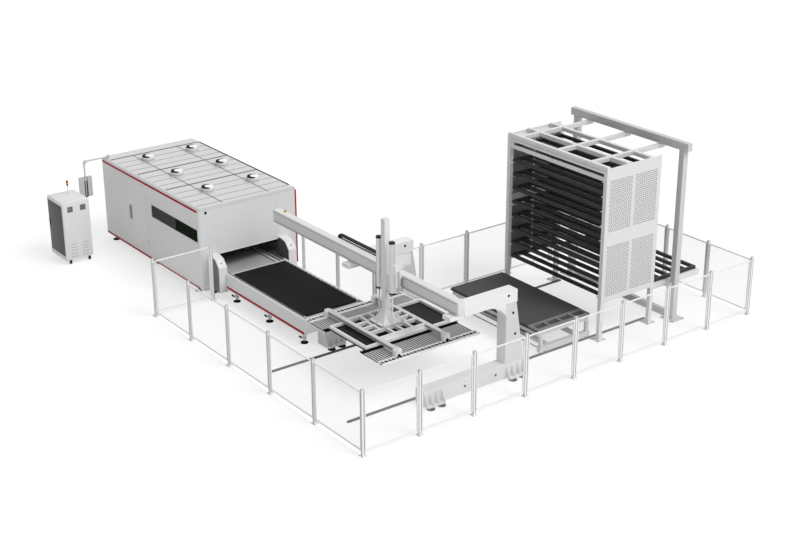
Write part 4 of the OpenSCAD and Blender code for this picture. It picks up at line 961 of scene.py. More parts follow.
    def lining(self) -> None:
        """Paint the shade inside the cabin black: a thin skin on its sides, rear, roof and the wall over the
        entry.
        """
        gap, skin = 0.003, 0.004
        lo = Vector((self.left + self.wall, self.front + self.wall, self.low + 0.06))
        hi = Vector((self.left + self.width - self.wall, self.front + self.length - self.wall,
                     self.roof_lo.z - gap))
        lining = Shape()
        for x in (lo.x, hi.x - skin):
            lining.box((x, lo.y, lo.z), (x + skin, hi.y, hi.z))
        lining.box((lo.x, hi.y - skin, lo.z), hi)
        lining.box((lo.x, lo.y, hi.z - skin), hi)
        lining.box((lo.x, lo.y, self.entry_top), (hi.x, lo.y + skin, hi.z))
        place("cabin_inner_shade", lining, MILL_BLACK, "cell")

    def curtain(self) -> None:
        """Hang a curtain of rubber strips behind the entry's upper edge."""
        x0, x1 = self.entry_x
        pitch = (x1 - x0) / self.curtain_strips
        self.kit.row("entry_curtain", RUBBER, "cell", Slot.RUBBER,
                     (x0 + pitch / 2, self.front + self.wall + 0.03, self.entry_top - 0.05),
                     (pitch * 0.97, 0.006, 0.12), (pitch, 0, 0), self.curtain_strips)

    def tracks(self) -> None:
        """Lay the plate between the pallet's tracks, its grey darkened as painted shade, with black slots as
        painted shade in its channels, rails and a stop beside the right one.
        """
        lo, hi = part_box("pallet_frame")
        y0, y1 = self.guards[0][0].y, self.front + self.plate_reach
        z = lo.z - 0.012
        plate = Shape().box((lo.x + self.track, y0, z - 0.008), (hi.x - self.track, y1, z), 0.002)
        place("entry_plate", plate, ENTRY_SHADED_COAT, "cell")
        slots, rails = Shape(), Shape()
        for inward, wide in ((0.1, 0.024), (0.005, 0.07), (-0.125, 0.06)):
            x = hi.x - inward
            slots.box((x - wide / 2, y0, z), (x + wide / 2, y1, z + 0.002))
        for inward, wide, tall in ((0.05, 0.014, 0.008), (-0.065, 0.05, 0.03), (-0.18, 0.026, 0.02)):
            x = hi.x - inward
            rails.box((x - wide / 2, y0, z), (x + wide / 2, y1, z + tall), 0.002)
        stop = Vector((hi.x - 0.35, self.front + 0.69, z))
        rails.box(stop, stop + Vector((0.025, 0.34, 0.01)), 0.002)
        place("entry_channel_shade", slots, RUBBER, "cell")
        place("entry_rails", rails, GUIDE_STEEL, "cell")

    def entry(self) -> None:
        """Finish the front: a lip over the entry, painted shade and screws on the guards, and the round eye.
        """
        x0, x1 = self.entry_x
        lip = Shape().box((x0, self.front - 0.004, self.entry_top - 0.004),
                          (x1, self.front + 0.012, self.entry_top + 0.016), 0.002)
        place("entry_lip", lip, BRIGHT_COAT, "cell")
        self.guard_shaded_sides()
        down = (self.guard_chest + self.guard_shoulder) / 2
        screws = [((lo.x + hi.x) / 2, lo.y + self.guard_slope / 2, hi.z - down) for lo, hi in self.guards]
        self.kit.bolts("guard_screws", screws, "cell", Axis.Y, 0.013, 0.022, 12, DARK_COAT, Slot.DARK)
        r, half = 0.036, 0.004
        eye = Shape().lathe((self.left + 0.21, self.front, self.top - 0.14),
                            [(0, -3 * half), (r - 2 * half, -3 * half), (r, -half), (r, half), (0, half)],
                            24, Axis.Y)
        place("front_eye", eye, RUBBER, "cell")

    def guard_shaded_sides(self) -> None:
        """Paint shade on the left faces of the two guards, grey on the one and dark grey on the other, inside
        a narrow white rim.
        """
        rim, skin, reach = 0.016, 0.0015, 0.06
        for name, (lo, hi), finish in zip(("guard_shade_left", "guard_shade_right"), self.guards,
                                          (PRIMER, DARK_COAT)):
            y0, y1, z0, z1 = lo.y + rim, hi.y + reach, lo.z + rim, hi.z - rim
            outline = [(y0, z0), (y0, hi.z - self.guard_chest),
                       (y0 + self.guard_slope, z1 - self.guard_shoulder),
                       (lo.y + self.guard_crown, z1), (y1, z1), (y1, z0)]
            face = Shape().prism(outline, Axis.X, lo.x - 5 * skin, lo.x + skin)
            place(name, face, finish, "cell")

    def feet(self) -> None:
        """Turn the levelling feet: moulded pad, screw with its nut, and a sleeve and lever on tall ones."""
        pads, screws, sleeves, levers = Shape(), Shape(), Shape(), Shape()
        for lo, hi in boxes("levelling_feet"):
            x, y = ((lo + hi) / 2).xy
            r = (hi.x - lo.x) / 2
            pads.lathe((x, y, 0.0), [(0, 0), (r * 0.97, 0), (r, 0.006), (r * 0.95, 0.016), (r * 0.5, 0.022),
                                     (0, 0.022)], 36)
            screws.rod((x, y, 0.02), (x, y, hi.z), 0.014, 16)
            screws.rod((x, y, 0.022), (x, y, 0.034), 0.026, 6)
            if hi.z > self.tall_foot:
                tall = hi.z - 0.091
                sleeves.lathe((x, y, 0.09), [(0, 0), (0.05, 0), (0.05, tall), (0, tall)], 28)
                levers.rod((x - 0.08, y, 0.15), (x - 0.13, y + 0.01, 0.2), 0.022, 14)
        place("foot_pads", pads, RUBBER, "cell", ["levelling_feet"])
        place("foot_screws", screws, GROUND_STEEL, "cell")
        place("foot_sleeves", sleeves, WHITE_COAT, "cell")
        place("foot_levers", levers, RUBBER, "cell")


@dataclass
class ExchangeTable:
    """Exchange table with its sliding pallet, slats and sheet."""

    kit: Kit
    holder_pitch: float = 0.17
    holder_in: float = 0.026
    holder_end: float = 0.05

    def build(self) -> None:
        """Dress the table and its pallet."""
        round_edges("table_frame", WHITE_COAT, "cell", 5)
        round_edges("pallet_frame", GREY_COAT, "pallet", 4)
        dress(DARK_STEEL, "pallet_slats")
        round_edges("table_sheet", MILL_BLACK, "pallet", 1)
        lo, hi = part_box("pallet_frame")
        count = int((hi.y - lo.y - 2 * self.holder_end) / self.holder_pitch)
        x, y, step = hi.x - self.holder_in, lo.y + self.holder_end, (0, self.holder_pitch, 0)
        self.kit.row("slat_holders", WHITE_COAT, "pallet", Slot.WHITE,
                     (x, y + self.holder_pitch / 2, hi.z + 0.026), (0.05, 0.11, 0.05), step, count)
        # Black blocks between the slat holders are painted shade in the gaps.
        self.kit.row("holder_gap_shades", RUBBER, "pallet", Slot.BLACK, (x, y, hi.z + 0.008), (0.04, 0.035, 0.02),
                     step, count)
        bar = Shape().box((hi.x - 0.012, lo.y + 0.01, hi.z), (hi.x - 0.001, hi.y - 0.01, hi.z + 0.03), 0.002)
        place("holder_bar", bar, BRIGHT_COAT, "pallet")
        lo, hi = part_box("table_frame")
        # The black strip on the frame's top is painted shade in its groove.
        groove = Shape().box((lo.x + 0.062, lo.y + 0.05, hi.z - 0.002),
                             (lo.x + 0.076, hi.y - 0.05, hi.z + 0.0015))
        place("table_groove", groove, RUBBER, "cell")


@dataclass
class ChillerCabinet:
    """Chiller cabinet on rollers, its grilles, its dark door and the stack light."""

    kit: Kit
    corner: float = 0.035
    door_rim: float = 0.03
    door_head: float = 0.045
    foot: float = 0.124
    wheel_in: float = 0.048
    wheel_w: float = 0.048
    grille: float = 0.152
    grille_drop: float = 0.2
    louvre_pitch: float = 0.032

    def build(self) -> None:
        """Dress the cabinet."""
        lo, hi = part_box("cabinet_body")
        door_lo, door_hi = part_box("cabinet_door")
        front_x = door_hi.x + 0.0003
        body = Shape().box((front_x, lo.y, self.foot), hi, self.corner)
        for node in ("roller_front", "roller_rear"):
            self.forks(node, body)
        place("cabinet_shell", body, WHITE_COAT, "cell", ["cabinet_body"])
        self.door(door_lo, door_hi)
        self.grilles(Vector((front_x, lo.y, self.foot)), hi)
        for node in ("roller_front", "roller_rear"):
            self.wheels(node)
        self.light()

    def door(self, lo: Vector, hi: Vector) -> None:
        """Frame the door in white round its dark panel, with a black grip on its free edge.

        Args:
            lo: Lowest corner of the door.
            hi: Highest corner of the door.
        """
        face, rim = hi.x - 0.013, self.door_rim
        leaf = Shape().box((face, lo.y, self.foot), hi, 0.004)
        place("cabinet_leaf", leaf, WHITE_COAT, "cabinet_door", ["cabinet_door"])
        panel = Shape().box((face - 0.004, lo.y + rim, lo.z + rim),
                            (face + 0.001, hi.y - rim, hi.z - self.door_head), 0.002)
        place("cabinet_panel", panel, DARK_COAT, "cabinet_door")
        grip = Shape().box((face - 0.007, hi.y - 0.1, lo.z + 0.7),
                           (face - 0.003, hi.y - 0.04, lo.z + 0.9), 0.001)
        place("cabinet_handle", grip, RUBBER, "cabinet_door")

    def wheel_places(self, node: str) -> list[Vector]:
        """Return the middles of a roller pair's two wheels."""
        lo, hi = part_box(node)
        mid = (lo + hi) / 2
        return [Vector((x, mid.y, mid.z)) for x in (lo.x + self.wheel_in, hi.x - self.wheel_in)]

    def wheels(self, node: str) -> None:
        """Turn the two wheels of a roller pair with their short pins."""
        lo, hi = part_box(node)
        r, wide, pin = (hi.z - lo.z) / 2, self.wheel_w, Vector((0.042, 0, 0))
        wheels = Shape()
        for mid in self.wheel_places(node):
            wheels.lathe(mid - Vector((wide / 2, 0, 0)), [(0, 0), (r * 0.9, 0), (r, 0.006), (r, wide - 0.006),
                                                          (r * 0.9, wide), (0, wide)], 32, Axis.X)
            wheels.rod(mid - pin, mid + pin, 0.012, 12)
        place(f"{node}_wheels", wheels, RUBBER, node, [node])

    def forks(self, node: str, body: Shape) -> None:
        """Add the forks of a roller pair to the cabinet: two cheeks and a bridge for each wheel.

        Args:
            node: The roller pair.
            body: The cabinet's shell.
        """
        for x, y, _ in self.wheel_places(node):
            for side in (-0.04, 0.027):
                body.box((x + side, y - 0.025, 0.035), (x + side + 0.013, y + 0.025, self.foot), 0.003)
            body.box((x - 0.04, y - 0.03, self.foot - 0.025), (x + 0.04, y + 0.03, self.foot), 0.003)

    def grilles(self, lo: Vector, hi: Vector) -> None:
        """Set the square grilles and the vent slots on the front, and louvres at the rear and the far side.

        Args:
            lo: Lowest corner of the shell.
            hi: Highest corner of the shell.
        """
        size, half, mid = hi - lo, self.grille / 2, (lo + hi) / 2
        z = hi.z - self.grille_drop
        plates = Shape()
        middles = [("grille_left", lo.x + 0.27 * size.x), ("grille_right", lo.x + 0.74 * size.x)]
        for _, x in middles:
            plates.box((x - half, lo.y - 0.004, z - half), (x + half, lo.y + 0.002, z + half), 0.002)
        place("grille_plates", plates, DARK_COAT, "cell")
        for name, x in middles:
            self.kit.row(name, PRIMER, "cell", Slot.GREY, (x, lo.y - 0.006, z - half + 0.009),
                         (0.146, 0.006, 0.008), (0, 0, 0.0134), 11)
        for name, share in (("vents_left", 0.3), ("vents_right", 0.72)):
            self.kit.row(name, PRIMER, "cell", Slot.GREY,
                         (lo.x + share * size.x - 0.045, lo.y - 0.001, lo.z + 0.09),
                         (0.07, 0.006, 0.01), (0.09, 0, 0), 2, (0, 0, 0.085), 5)
        z, step = lo.z + 0.35, (0, 0, self.louvre_pitch)
        self.kit.row("vents_rear", DARK_COAT, "cell", Slot.DARK, (mid.x, hi.y - 0.001, z),
                     (size.x * 0.62, 0.006, 0.014), step, 24)
        self.kit.row("vents_side", DARK_COAT, "cell", Slot.DARK, (hi.x - 0.001, mid.y, z),
                     (0.006, size.y * 0.62, 0.014), step, 14)

    @staticmethod
    def light() -> None:
        """Turn the stack light: foot, stem and three caps."""
        lo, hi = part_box("stack_light")
        x, y = ((lo + hi) / 2).xy
        r, low = 0.027, 0.246
        stem = Shape().lathe((x, y, lo.z), [(0, 0), (0.04, 0), (0.04, 0.008), (0.012, 0.014), (0.011, 0.23),
                                            (r, 0.236), (r, low), (0, low)], 24)
        place("light_stem", stem, WHITE_COAT, "cell", ["stack_light"])
        for name, finish, tall in (("light_green", LAMP_GREEN, 0.055), ("light_amber", LAMP_AMBER, 0.03),
                                   ("light_red", LAMP_RED, 0.055)):
            cap = Shape().lathe((x, y, lo.z + low), [(0, 0), (r, 0), (r, tall - 0.006), (r - 0.004, tall),
                                                     (0, tall)], 24)
            place(name, cap, finish, "cell")
            low += tall


@dataclass
class ControlPanel:
    """Operator panel on its swing arm."""

    kit: Kit
    tube: float = 0.03
    slim: float = 0.021
    elbow: float = 0.042
    bend_r: float = 0.07
    tall: float = 0.56
    deep: float = 0.06
    wide: float = 0.36

    def build(self) -> None:
        """Dress the arm and the panel."""
        lo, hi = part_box("panel_arm")
        y = (lo.y + hi.y) / 2
        arm_z = hi.z - 0.05
        drop_x = lo.x + self.tube
        hub_x = hi.x - 0.05
        turn = [(drop_x + self.bend_r * (1 - math.sin(a)), y, arm_z - self.bend_r * (1 - math.cos(a)))
                for a in (math.pi / 2 * k / 8 for k in range(9))]
        path = [(hub_x, y, arm_z), *turn, (drop_x, y, lo.z)]
        arm = Shape().bend(path, self.slim, 20).bend(turn, self.elbow, 20)
        arm.lathe((hub_x, y, arm_z - self.tube),
                  [(0, 0), (0.05, 0), (0.05, 0.07), (0.042, 0.08), (0, 0.08)], 28)
        place("swing_arm", arm, GREY_COAT, "panel_arm", ["panel_arm"])
        self.face(Vector((drop_x, y, lo.z)))

    def face(self, axis: Vector) -> None:
        """Build the panel: a slim box behind its tube, with the display and the keys in its face.

        Args:
            axis: Lower end of the arm, on the axis that the panel turns about.
        """
        bm = merged("panel_box")
        flat = max((f for f in bm.faces if abs(f.normal.z) < 0.01),
                   key=lambda f: f.normal.y * 10 + f.calc_area())
        out = flat.normal.copy()
        across = Vector((0, 0, 1)).cross(out).normalized()
        centre = flat.calc_center_bounds()
        bm.free()
        lo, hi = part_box("panel_box")
        top, tall, deep = hi.z - 0.03, self.tall, self.deep

        def down(share: float) -> Vector:
            """Return a place on the face's middle line, a share of its height down."""
            return Vector((centre.x, centre.y, top - tall * share))

        body, back, glass, keys = Shape(), Shape(), Shape(), Shape()
        self.slab(body, down(0.5) - out * deep / 2, across, out, self.wide, tall, deep)
        for side in (-1, 1):
            cheek = down(0.5) - out * (deep + 0.008) + across * side * 0.115
            self.slab(body, cheek, across, out, 0.13, tall - 0.03, 0.016)
        self.slab(back, down(0.5) - out * (deep + 0.001), across, out, 0.1, tall - 0.02, 0.004)
        foot = Vector((axis.x, axis.y, lo.z))
        body.rod(foot, axis, self.slim + 0.003, 20)
        clamp = Vector((axis.x, axis.y, top - 0.06)) + out * 0.02
        self.slab(body, clamp, across, out, 0.07, 0.09, 0.08)
        back.rod(foot - Vector((0, 0, 0.012)), foot + Vector((0, 0, 0.02)), 0.034, 20)
        place("panel_shell", body, GREY_COAT, "panel_box", ["panel_box"])
        place("panel_back", back, RUBBER, "panel_box")
        self.slab(glass, down(0.37) + out * 0.001, across, out, 0.31, tall * 0.48, 0.004)
        for i in range(4):
            for k in range(2):
                key = down(0.77 + 0.09 * k) + out * 0.001 + across * (i - 1.5) * 0.07
                self.slab(keys, key, across, out, 0.04, 0.032, 0.008)
        place("panel_screen", glass, SCREEN, "panel_box")
        place("panel_keys", keys, DARK_COAT, "panel_box")

    @staticmethod
    def slab(shape: Shape, mid: Vector, across: Vector, out: Vector, wide: float, tall: float,
             thick: float) -> None:
        """Add an upright slab that faces outwards.

        Args:
            shape: The shape that takes the slab.
            mid: Middle of the slab.
            across: Direction of its width.
            out: Direction that it faces.
            wide: Its width.
            tall: Its height.
            thick: Its thickness.
        """
        turn = Matrix((across, out, Vector((0, 0, 1)))).transposed().to_4x4()
        matrix = Matrix.Translation(mid) @ turn @ Matrix.Diagonal((wide, thick, tall, 1.0))
        bmesh.ops.create_cube(shape.bm, size=1.0, matrix=matrix)


@dataclass
class Loader:
    """Beam loader: frames, beam, carriage, mast, gripper and combs."""

    kit: Kit
    hole_r: float = 0.022
    column_holes: tuple[tuple[float, float], ...] = ((0.2, 0.27), (0.27, 0.79))
    arm_hole: tuple[float, float] = (0.25, 0.1)
    base_holes: tuple[tuple[float, float], ...] = ((1.13, 0.19), (2.0, 0.19))
    bolt_in: float = 0.03
    tooth: float = 0.02
    tooth_pitch: float = 0.065
    tooth_top: float = 0.038
    bar_top: float = 0.04
    tip: float = 0.16
    slot_pitch: float = 0.0975
    guide_half: float = 0.66
    guide_w: float = 0.1
    foot_plate: float = 0.02

    def __post_init__(self) -> None:
        """Read the guide beams' places from the mast: its foot plate lies on them."""
        lo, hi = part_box("mast")
        self.guide_top = lo.z - self.foot_plate
        self.guide_x = [(lo.x + hi.x) / 2 + side * self.guide_half for side in (-1, 1)]

    def build(self) -> None:
        """Dress the loader."""
        round_edges("loader_bases", WHITE_COAT, "cell", 7)
        round_edges("loader_columns", WHITE_COAT, "cell", 7)
        round_edges("loader_arms", BRIGHT_COAT, "cell", 7)
        round_edges("beam", WHITE_COAT, "cell", 6)
        round_edges("beam_carriage", WHITE_COAT, "beam_carriage", 4)
        round_edges("mast", WHITE_COAT, "mast", 4)
        round_edges("gripper_frame", WHITE_COAT, "gripper", 4)
        round_edges("held_sheet", HELD_BLACK_LIGHTENED, "gripper", 1)
        for node in ("comb_near", "comb_far"):
            round_edges(node, BRIGHT_COAT, node, 2)
            self.blades(node)
        self.guides()
        self.cylinders()
        self.cups()
        self.holes()
        self.chain()
        self.beam_end()

    def cylinders(self) -> None:
        """Turn the balance cylinders: bright tubes, a collar and black caps."""
        tubes, caps, collars = Shape(), Shape(), Shape()
        rod_r, cap, facets = 0.024, 0.04, 48
        for lo, hi in boxes("balance_cylinders"):
            x, y = ((lo + hi) / 2).xy
            wide = (hi.x - lo.x) / 2
            r, tall = wide - 0.007, hi.z - lo.z - 0.06
            tubes.lathe((x, y, lo.z + 0.03), [(0, 0), (r, 0), (r, tall), (0, tall)], facets)
            caps.lathe((x, y, lo.z), [(rod_r, 0), (wide - 0.004, 0), (wide, 0.006), (wide, 0.034),
                                      (wide - 0.004, cap), (rod_r, cap), (rod_r, 0)], facets)
            caps.lathe((x, y, hi.z - cap), [(0, 0), (wide, 0), (wide, 0.034), (wide - 0.006, cap), (0, cap)],
                       facets)
            collars.lathe((x, y, lo.z + 0.69), [(r, 0), (wide, 0.004), (wide, 0.026), (r, 0.03)], facets)
        place("cylinder_tubes", tubes, BRIGHT_TUBE, "beam_carriage", ["balance_cylinders"])
        place("cylinder_caps", caps, NYLON, "beam_carriage")
        place("cylinder_collars", collars, WHITE_COAT, "beam_carriage")

    @staticmethod
    def cups() -> None:
        """Turn the suction cups with their bellows."""
        cups = Shape()
        for lo, hi in boxes("suction_cups"):
            x, y = ((lo + hi) / 2).xy
            r, tall = (hi.x - lo.x) / 2, hi.z - lo.z
            cups.lathe((x, y, lo.z), [(0, 0), (r, 0), (r * 0.94, tall * 0.25), (r * 0.66, tall * 0.4),
                                      (r * 0.8, tall * 0.6), (r * 0.6, tall * 0.8), (r * 0.6, tall),
                                      (0, tall)], 28)
        place("cup_bellows", cups, RUBBER, "gripper", ["suction_cups"])

    def blades(self, node: str) -> None:
        """Dress a comb: black strips on its teeth's flanks as painted shade, white caps, black tips, black
        slots in its bar as painted shade, and shades by the guides.

        Args:
            node: The comb, which is also its body.
        """
        lo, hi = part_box(node)
        reach, thick = hi.y - lo.y, 0.0012
        count = int((hi.x - lo.x - self.tooth) / self.tooth_pitch + 0.001) + 1
        step = (self.tooth_pitch, 0, 0)

        def across(a: float, b: float) -> tuple[float, float]:
            """Return the middle and the width of a span measured from the comb's outer edge."""
            return lo.y + (a + b) / 2 if node == "comb_near" else hi.y - (a + b) / 2, b - a

        # Both rows are painted shade: thin black strips on the teeth's flanks stand for the shade between the
        # teeth.
        for name, span in (("bar_gap_shade", (0.042, 0.098)), ("blades", (0.182, reach - 0.002))):
            y, wide = across(*span)
            self.kit.row(f"{node}_{name}", COMB_SHADE_BLACK, node, Slot.PLASTIC,
                         (lo.x - thick / 2 + 0.0001, y, lo.z + 0.0195), (thick, wide, 0.0325), step, count,
                         (self.tooth + thick - 0.0002, 0, 0), 2)
        for name, finish, slot, share, span in (
                ("caps", BRIGHT_COAT, Slot.WHITE, 0.38, (0.184, reach - self.tip)),
                ("tips", COMB_SHADE_BLACK, Slot.PLASTIC, 0.46, (reach - self.tip, reach - 0.004))):
            y, wide = across(*span)
            self.kit.row(f"{node}_{name}", finish, node, slot,
                         (lo.x + self.tooth / 2, y, lo.z + self.tooth_top),
                         (self.tooth_pitch * share, wide, 0.003), step, count)
        y, wide = across(0.034, 0.124)
        bar, deep = lo.z + self.bar_top, 0.00075
        self.kit.row(f"{node}_slots", COMB_SHADE_BLACK, node, Slot.PLASTIC,
                     (lo.x + self.slot_pitch / 2, y, bar + deep / 2), (self.slot_pitch * 0.5, wide, deep),
                     (self.slot_pitch, 0, 0), int((hi.x - lo.x) / self.slot_pitch))
        y, wide = across(0.07, 0.13)
        low, high = bar + 0.012, self.guide_top - 0.106
        shade = Shape()
        for x in self.guide_x:
            shade.prism([(x - 0.04, low), (x + 0.04, low), (x + 0.011, high), (x - 0.011, high)], Axis.Y,
                        y - wide / 2, y + wide / 2)
        place(f"{node}_shade", shade, COMB_SHADE_BLACK, node)

    def guides(self) -> None:
        """Draw the webs of the gripper's two guide beams and the lines along their tops."""
        lo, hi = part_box("gripper_frame")
        y0, y1, top, proud = lo.y + 0.02, hi.y - 0.02, self.guide_top, 0.0003
        webs, lines = Shape(), Shape()
        for mid in self.guide_x:
            for face in (-1, 1):
                x = mid + face * self.guide_w / 2
                webs.box((x - proud, y0, top - 0.066), (x + proud, y1, top - 0.026))
                x = mid + face * 0.03
                lines.box((x - 0.005, y0, top - 0.001), (x + 0.005, y1, top + proud))
        place("guide_webs", webs, PRIMER, "gripper")
        place("guide_lines", lines, PRIMER, "gripper")

    def holes(self) -> None:
        """Set black discs on the frames' near faces, painted shade for their lifting holes, and bolt the
        mast's foot plate.
        """
        hole_shades = []
        for lo, hi in boxes("loader_columns"):
            hole_shades += [(lo.x + along, lo.y + 0.01, hi.z - down) for along, down in self.column_holes]
        for lo, hi in boxes("loader_arms"):
            along, down = self.arm_hole
            hole_shades.append((hi.x - along, lo.y, hi.z - down))
        for lo, _ in self.long_bases():
            hole_shades += [(lo.x + along, lo.y, lo.z + up) for along, up in self.base_holes]
        self.kit.bolts("frame_hole_shades", hole_shades, "cell", Axis.Y, self.hole_r, 0.008, 20, RUBBER, Slot.RUBBER)
        lo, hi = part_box("mast")
        foot = [(x, y, lo.z + 0.024) for x in (lo.x + self.bolt_in, hi.x - self.bolt_in)
                for y in (lo.y + self.bolt_in, (lo.y + hi.y) / 2, hi.y - self.bolt_in)]
        self.kit.bolts("mast_bolts", foot, "mast", radius=0.014, height=0.014)

    @staticmethod
    def long_bases() -> list[tuple[Vector, Vector]]:
        """Return the boxes of the two base beams."""
        return [b for b in boxes("loader_bases") if b[1].x - b[0].x > 2.0]

    def chain(self) -> None:
        """Lay the energy chain: links along its loop, in a white trough."""
        lo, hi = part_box("energy_chain")
        deep, pitch, thick = 0.012, 0.075, 0.045
        x0, x1 = lo.x + 0.04, hi.x - 0.01
        mid_x = (x0 + x1) / 2
        low = lo.z + deep + thick / 2
        high = hi.z - thick / 2
        r = (high - low) / 2
        y_end = hi.y - r - thick / 2
        bend = [(mid_x, y_end + r * math.sin(a), low + r - r * math.cos(a))
                for a in (math.pi * k / 12 for k in range(13))]
        path = [(mid_x, lo.y + pitch / 2, low), *bend, (mid_x, lo.y + pitch / 2, high)]
        links = self.kit.links.grow("chain_links", NYLON, {
            "Pitch": pitch, "Size": (x1 - x0, pitch * 0.88, thick * 0.96)}, path, path=True)
        settle(links, "cell", ["energy_chain"])
        wall, wall_top = 0.006, 0.05
        trough = Shape().box(lo, (hi.x, hi.y, lo.z + deep), 0.002)
        trough.box((hi.x - wall, lo.y, lo.z), (hi.x, hi.y, lo.z + wall_top), 0.001)
        place("chain_trough", trough, WHITE_COAT, "cell")

    @staticmethod
    def beam_end() -> None:
        """Cap the beam's ends and set the amber end switch on its far top."""
        lo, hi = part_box("beam")
        caps, inset, thick, proud = Shape(), 0.006, 0.006, 0.004
        for y in (lo.y - proud, hi.y + proud - thick):
            caps.box((lo.x + inset, y, lo.z + inset), (hi.x - inset, y + thick, hi.z - inset), 0.002)
        place("beam_caps", caps, WHITE_COAT, "cell")
        at = Vector((hi.x - 0.07, hi.y - 0.35, hi.z))
        switch = Shape().box(at, at + Vector((0.05, 0.06, 0.04)), 0.006)
        place("end_switch", switch, LAMP_AMBER, "cell")


@dataclass
class SheetCart:
    """Floor rails and the cart that rolls on them."""

    kit: Kit
    edge_out: float = 0.016
    edge_top: float = 0.012
    inset: float = 0.005
    side_skin: float = 0.002

    def build(self) -> None:
        """Dress the rails and the cart."""
        round_edges("floor_rails", DARK_STEEL, "cell", 4)
        round_edges("cart_frame", GREY_COAT, "cart", 5)
        round_edges("cart_pallet", PRIMER, "cart", 5)
        round_edges("cart_sheet", CART_PLATE, "cart", 1)
        for node in ("cart_axle_front", "cart_axle_rear"):
            round_edges(node, DARK_STEEL, node, 4)
        self.plates()

    def plates(self) -> None:
        """Lay the dark plates round the cart's pallet: under it, along its lower edge and on its left."""
        lo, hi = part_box("cart_pallet")
        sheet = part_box("cart_sheet")[0]
        out, inset, skin = self.edge_out, self.inset, self.side_skin
        low = lo.z + self.edge_top + 0.001
        under = Shape().box((lo.x + inset, lo.y + inset, low), (hi.x - inset, hi.y - inset, low + 0.003))
        place("cart_underplate", under, CART_PLATE, "cart")
        edge = Shape().box((lo.x - out, lo.y - out, lo.z + 0.0005),
                           (hi.x + out, hi.y + out, lo.z + self.edge_top), 0.003)
        place("cart_edge", edge, MILL_BLACK, "cart")
        side = Shape().box((lo.x - skin, sheet.y, low), (lo.x, hi.y - inset, hi.z + skin))
        side.box((lo.x, sheet.y, hi.z), (sheet.x, hi.y - inset, hi.z + skin))
        place("cart_side", side, CART_PLATE, "cart")


@dataclass
class StorageTower:
    """Tray tower with its perforated sides, trays, hoist frame and lift."""

    kit: Kit
    cell_w: float = 0.066
    cell_h: float = 0.05
    slot_w: float = 0.042
    slot_h: float = 0.025
    margin_side: float = 0.11
    margin_middle: float = 0.09
    margin_foot: float = 0.13
    margin_head: float = 0.3
    band: float = 0.34
    # Thickness, gap and overlap of the grey backing sheets, painted shade behind the holes.
    mesh: float = 0.0015
    shade_sheet_gap: float = 0.0005
    shade_sheet_lap: float = 0.01
    anchor_in: float = 0.03
    trays: int = 9

    def build(self) -> None:
        """Dress the tower."""
        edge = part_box("tower_panels")[1].x + 0.1
        for name, finish, side in (("posts", WHITE_COAT, False), ("hoist", HOIST_COAT, True)):
            round_edges("tower_frame", finish, "cell", 5, name,
                        lambda group, side=side: (min(v.co.x for v in group) > edge) == side)
        for k in range(1, self.trays + 1):
            round_edges(f"tray_{k}", TRAY_BLACK, f"tray_{k}", 5)
        round_edges("lift_tray", TRAY_BLACK, "lift", 5)
        round_edges("lift", WHITE_COAT, "lift", 5)
        near, far = sorted(boxes("tower_panels"), key=lambda b: b[0].y)
        self.panel("side_panel_near", *near, near[1].y + self.shade_sheet_gap)
        self.panel("side_panel_far", *far, far[0].y - self.shade_sheet_gap - self.mesh)
        self.bolts()

    def panel(self, name: str, lo: Vector, hi: Vector, mesh_y: float) -> None:
        """Build one side panel: plain margins, a bare band and four perforated fields, each backed by a grey
        sheet that stands for the dark inside seen through the holes, its black trays and their shade.

        Args:
            name: Name of the panel.
            lo: Lowest corner of the panel.
            hi: Highest corner of the panel.
            mesh_y: Nearer face of the grey backing sheet.
        """
        wide = (hi.x - lo.x - 2 * self.margin_side - self.margin_middle) / 2
        tall = (hi.z - lo.z - self.margin_foot - self.margin_head - self.band) / 2
        count, pairs = round(wide / self.cell_w), round(tall / (2 * self.cell_h))
        cell_w, cell_h = wide / count, tall / (2 * pairs)
        lows = (lo.z + self.margin_foot, lo.z + self.margin_foot + tall + self.band)
        lefts = (lo.x + self.margin_side, lo.x + self.margin_side + wide + self.margin_middle)
        fields = [(x, z) for x in lefts for z in lows]
        rim, back, lap = Shape(), Shape(), self.shade_sheet_lap
        for x, z in fields:
            back.box((x - lap, mesh_y, z - lap), (x + wide + lap, mesh_y + self.mesh, z + tall + lap))
        # The grey backing is painted shade: the holes show it in place of the tower's dark inside.
        place(f"{name}_mesh", back, PRIMER, "cell")
        for x0, x1 in ((lo.x, lefts[0]), (lefts[0] + wide, lefts[1]), (lefts[1] + wide, hi.x)):
            rim.box((x0, lo.y, lo.z), (x1, hi.y, hi.z))
        for x in lefts:
            for z0, z1 in ((lo.z, lows[0]), (lows[0] + tall, lows[1]), (lows[1] + tall, hi.z)):
                rim.box((x, lo.y, z0), (x + wide, hi.y, z1))
        for x, z in fields:
            part = self.kit.perforation.grow(f"{name}_field", WHITE_COAT, {
                "Start": (x + cell_w / 2, (lo.y + hi.y) / 2, z + cell_h / 2), "Count": count,
                "Row Pairs": pairs, "Cell Width": cell_w, "Cell Height": cell_h,
                "Slot Width": self.slot_w, "Slot Height": self.slot_h, "Thickness": hi.y - lo.y,
                "Shift": min(cell_w / 4, (cell_w - self.slot_w) * 0.48)})
            rim.bm.from_mesh(part.data)
            bpy.data.objects.remove(part)
        place(name, rim, WHITE_COAT, "cell", ["tower_panels"])

    def bolts(self) -> None:
        """Bolt the posts' base plates to the floor."""
        floor = []
        for lo, hi in boxes("tower_frame"):
            if lo.z < 0.001 and hi.z > 2:
                floor += [(x, y, 0.02) for x in (lo.x + self.anchor_in, hi.x - self.anchor_in)
                          for y in (lo.y + self.anchor_in, hi.y - self.anchor_in)]
        self.kit.bolts("tower_anchors", floor, "cell", radius=0.016, height=0.014)


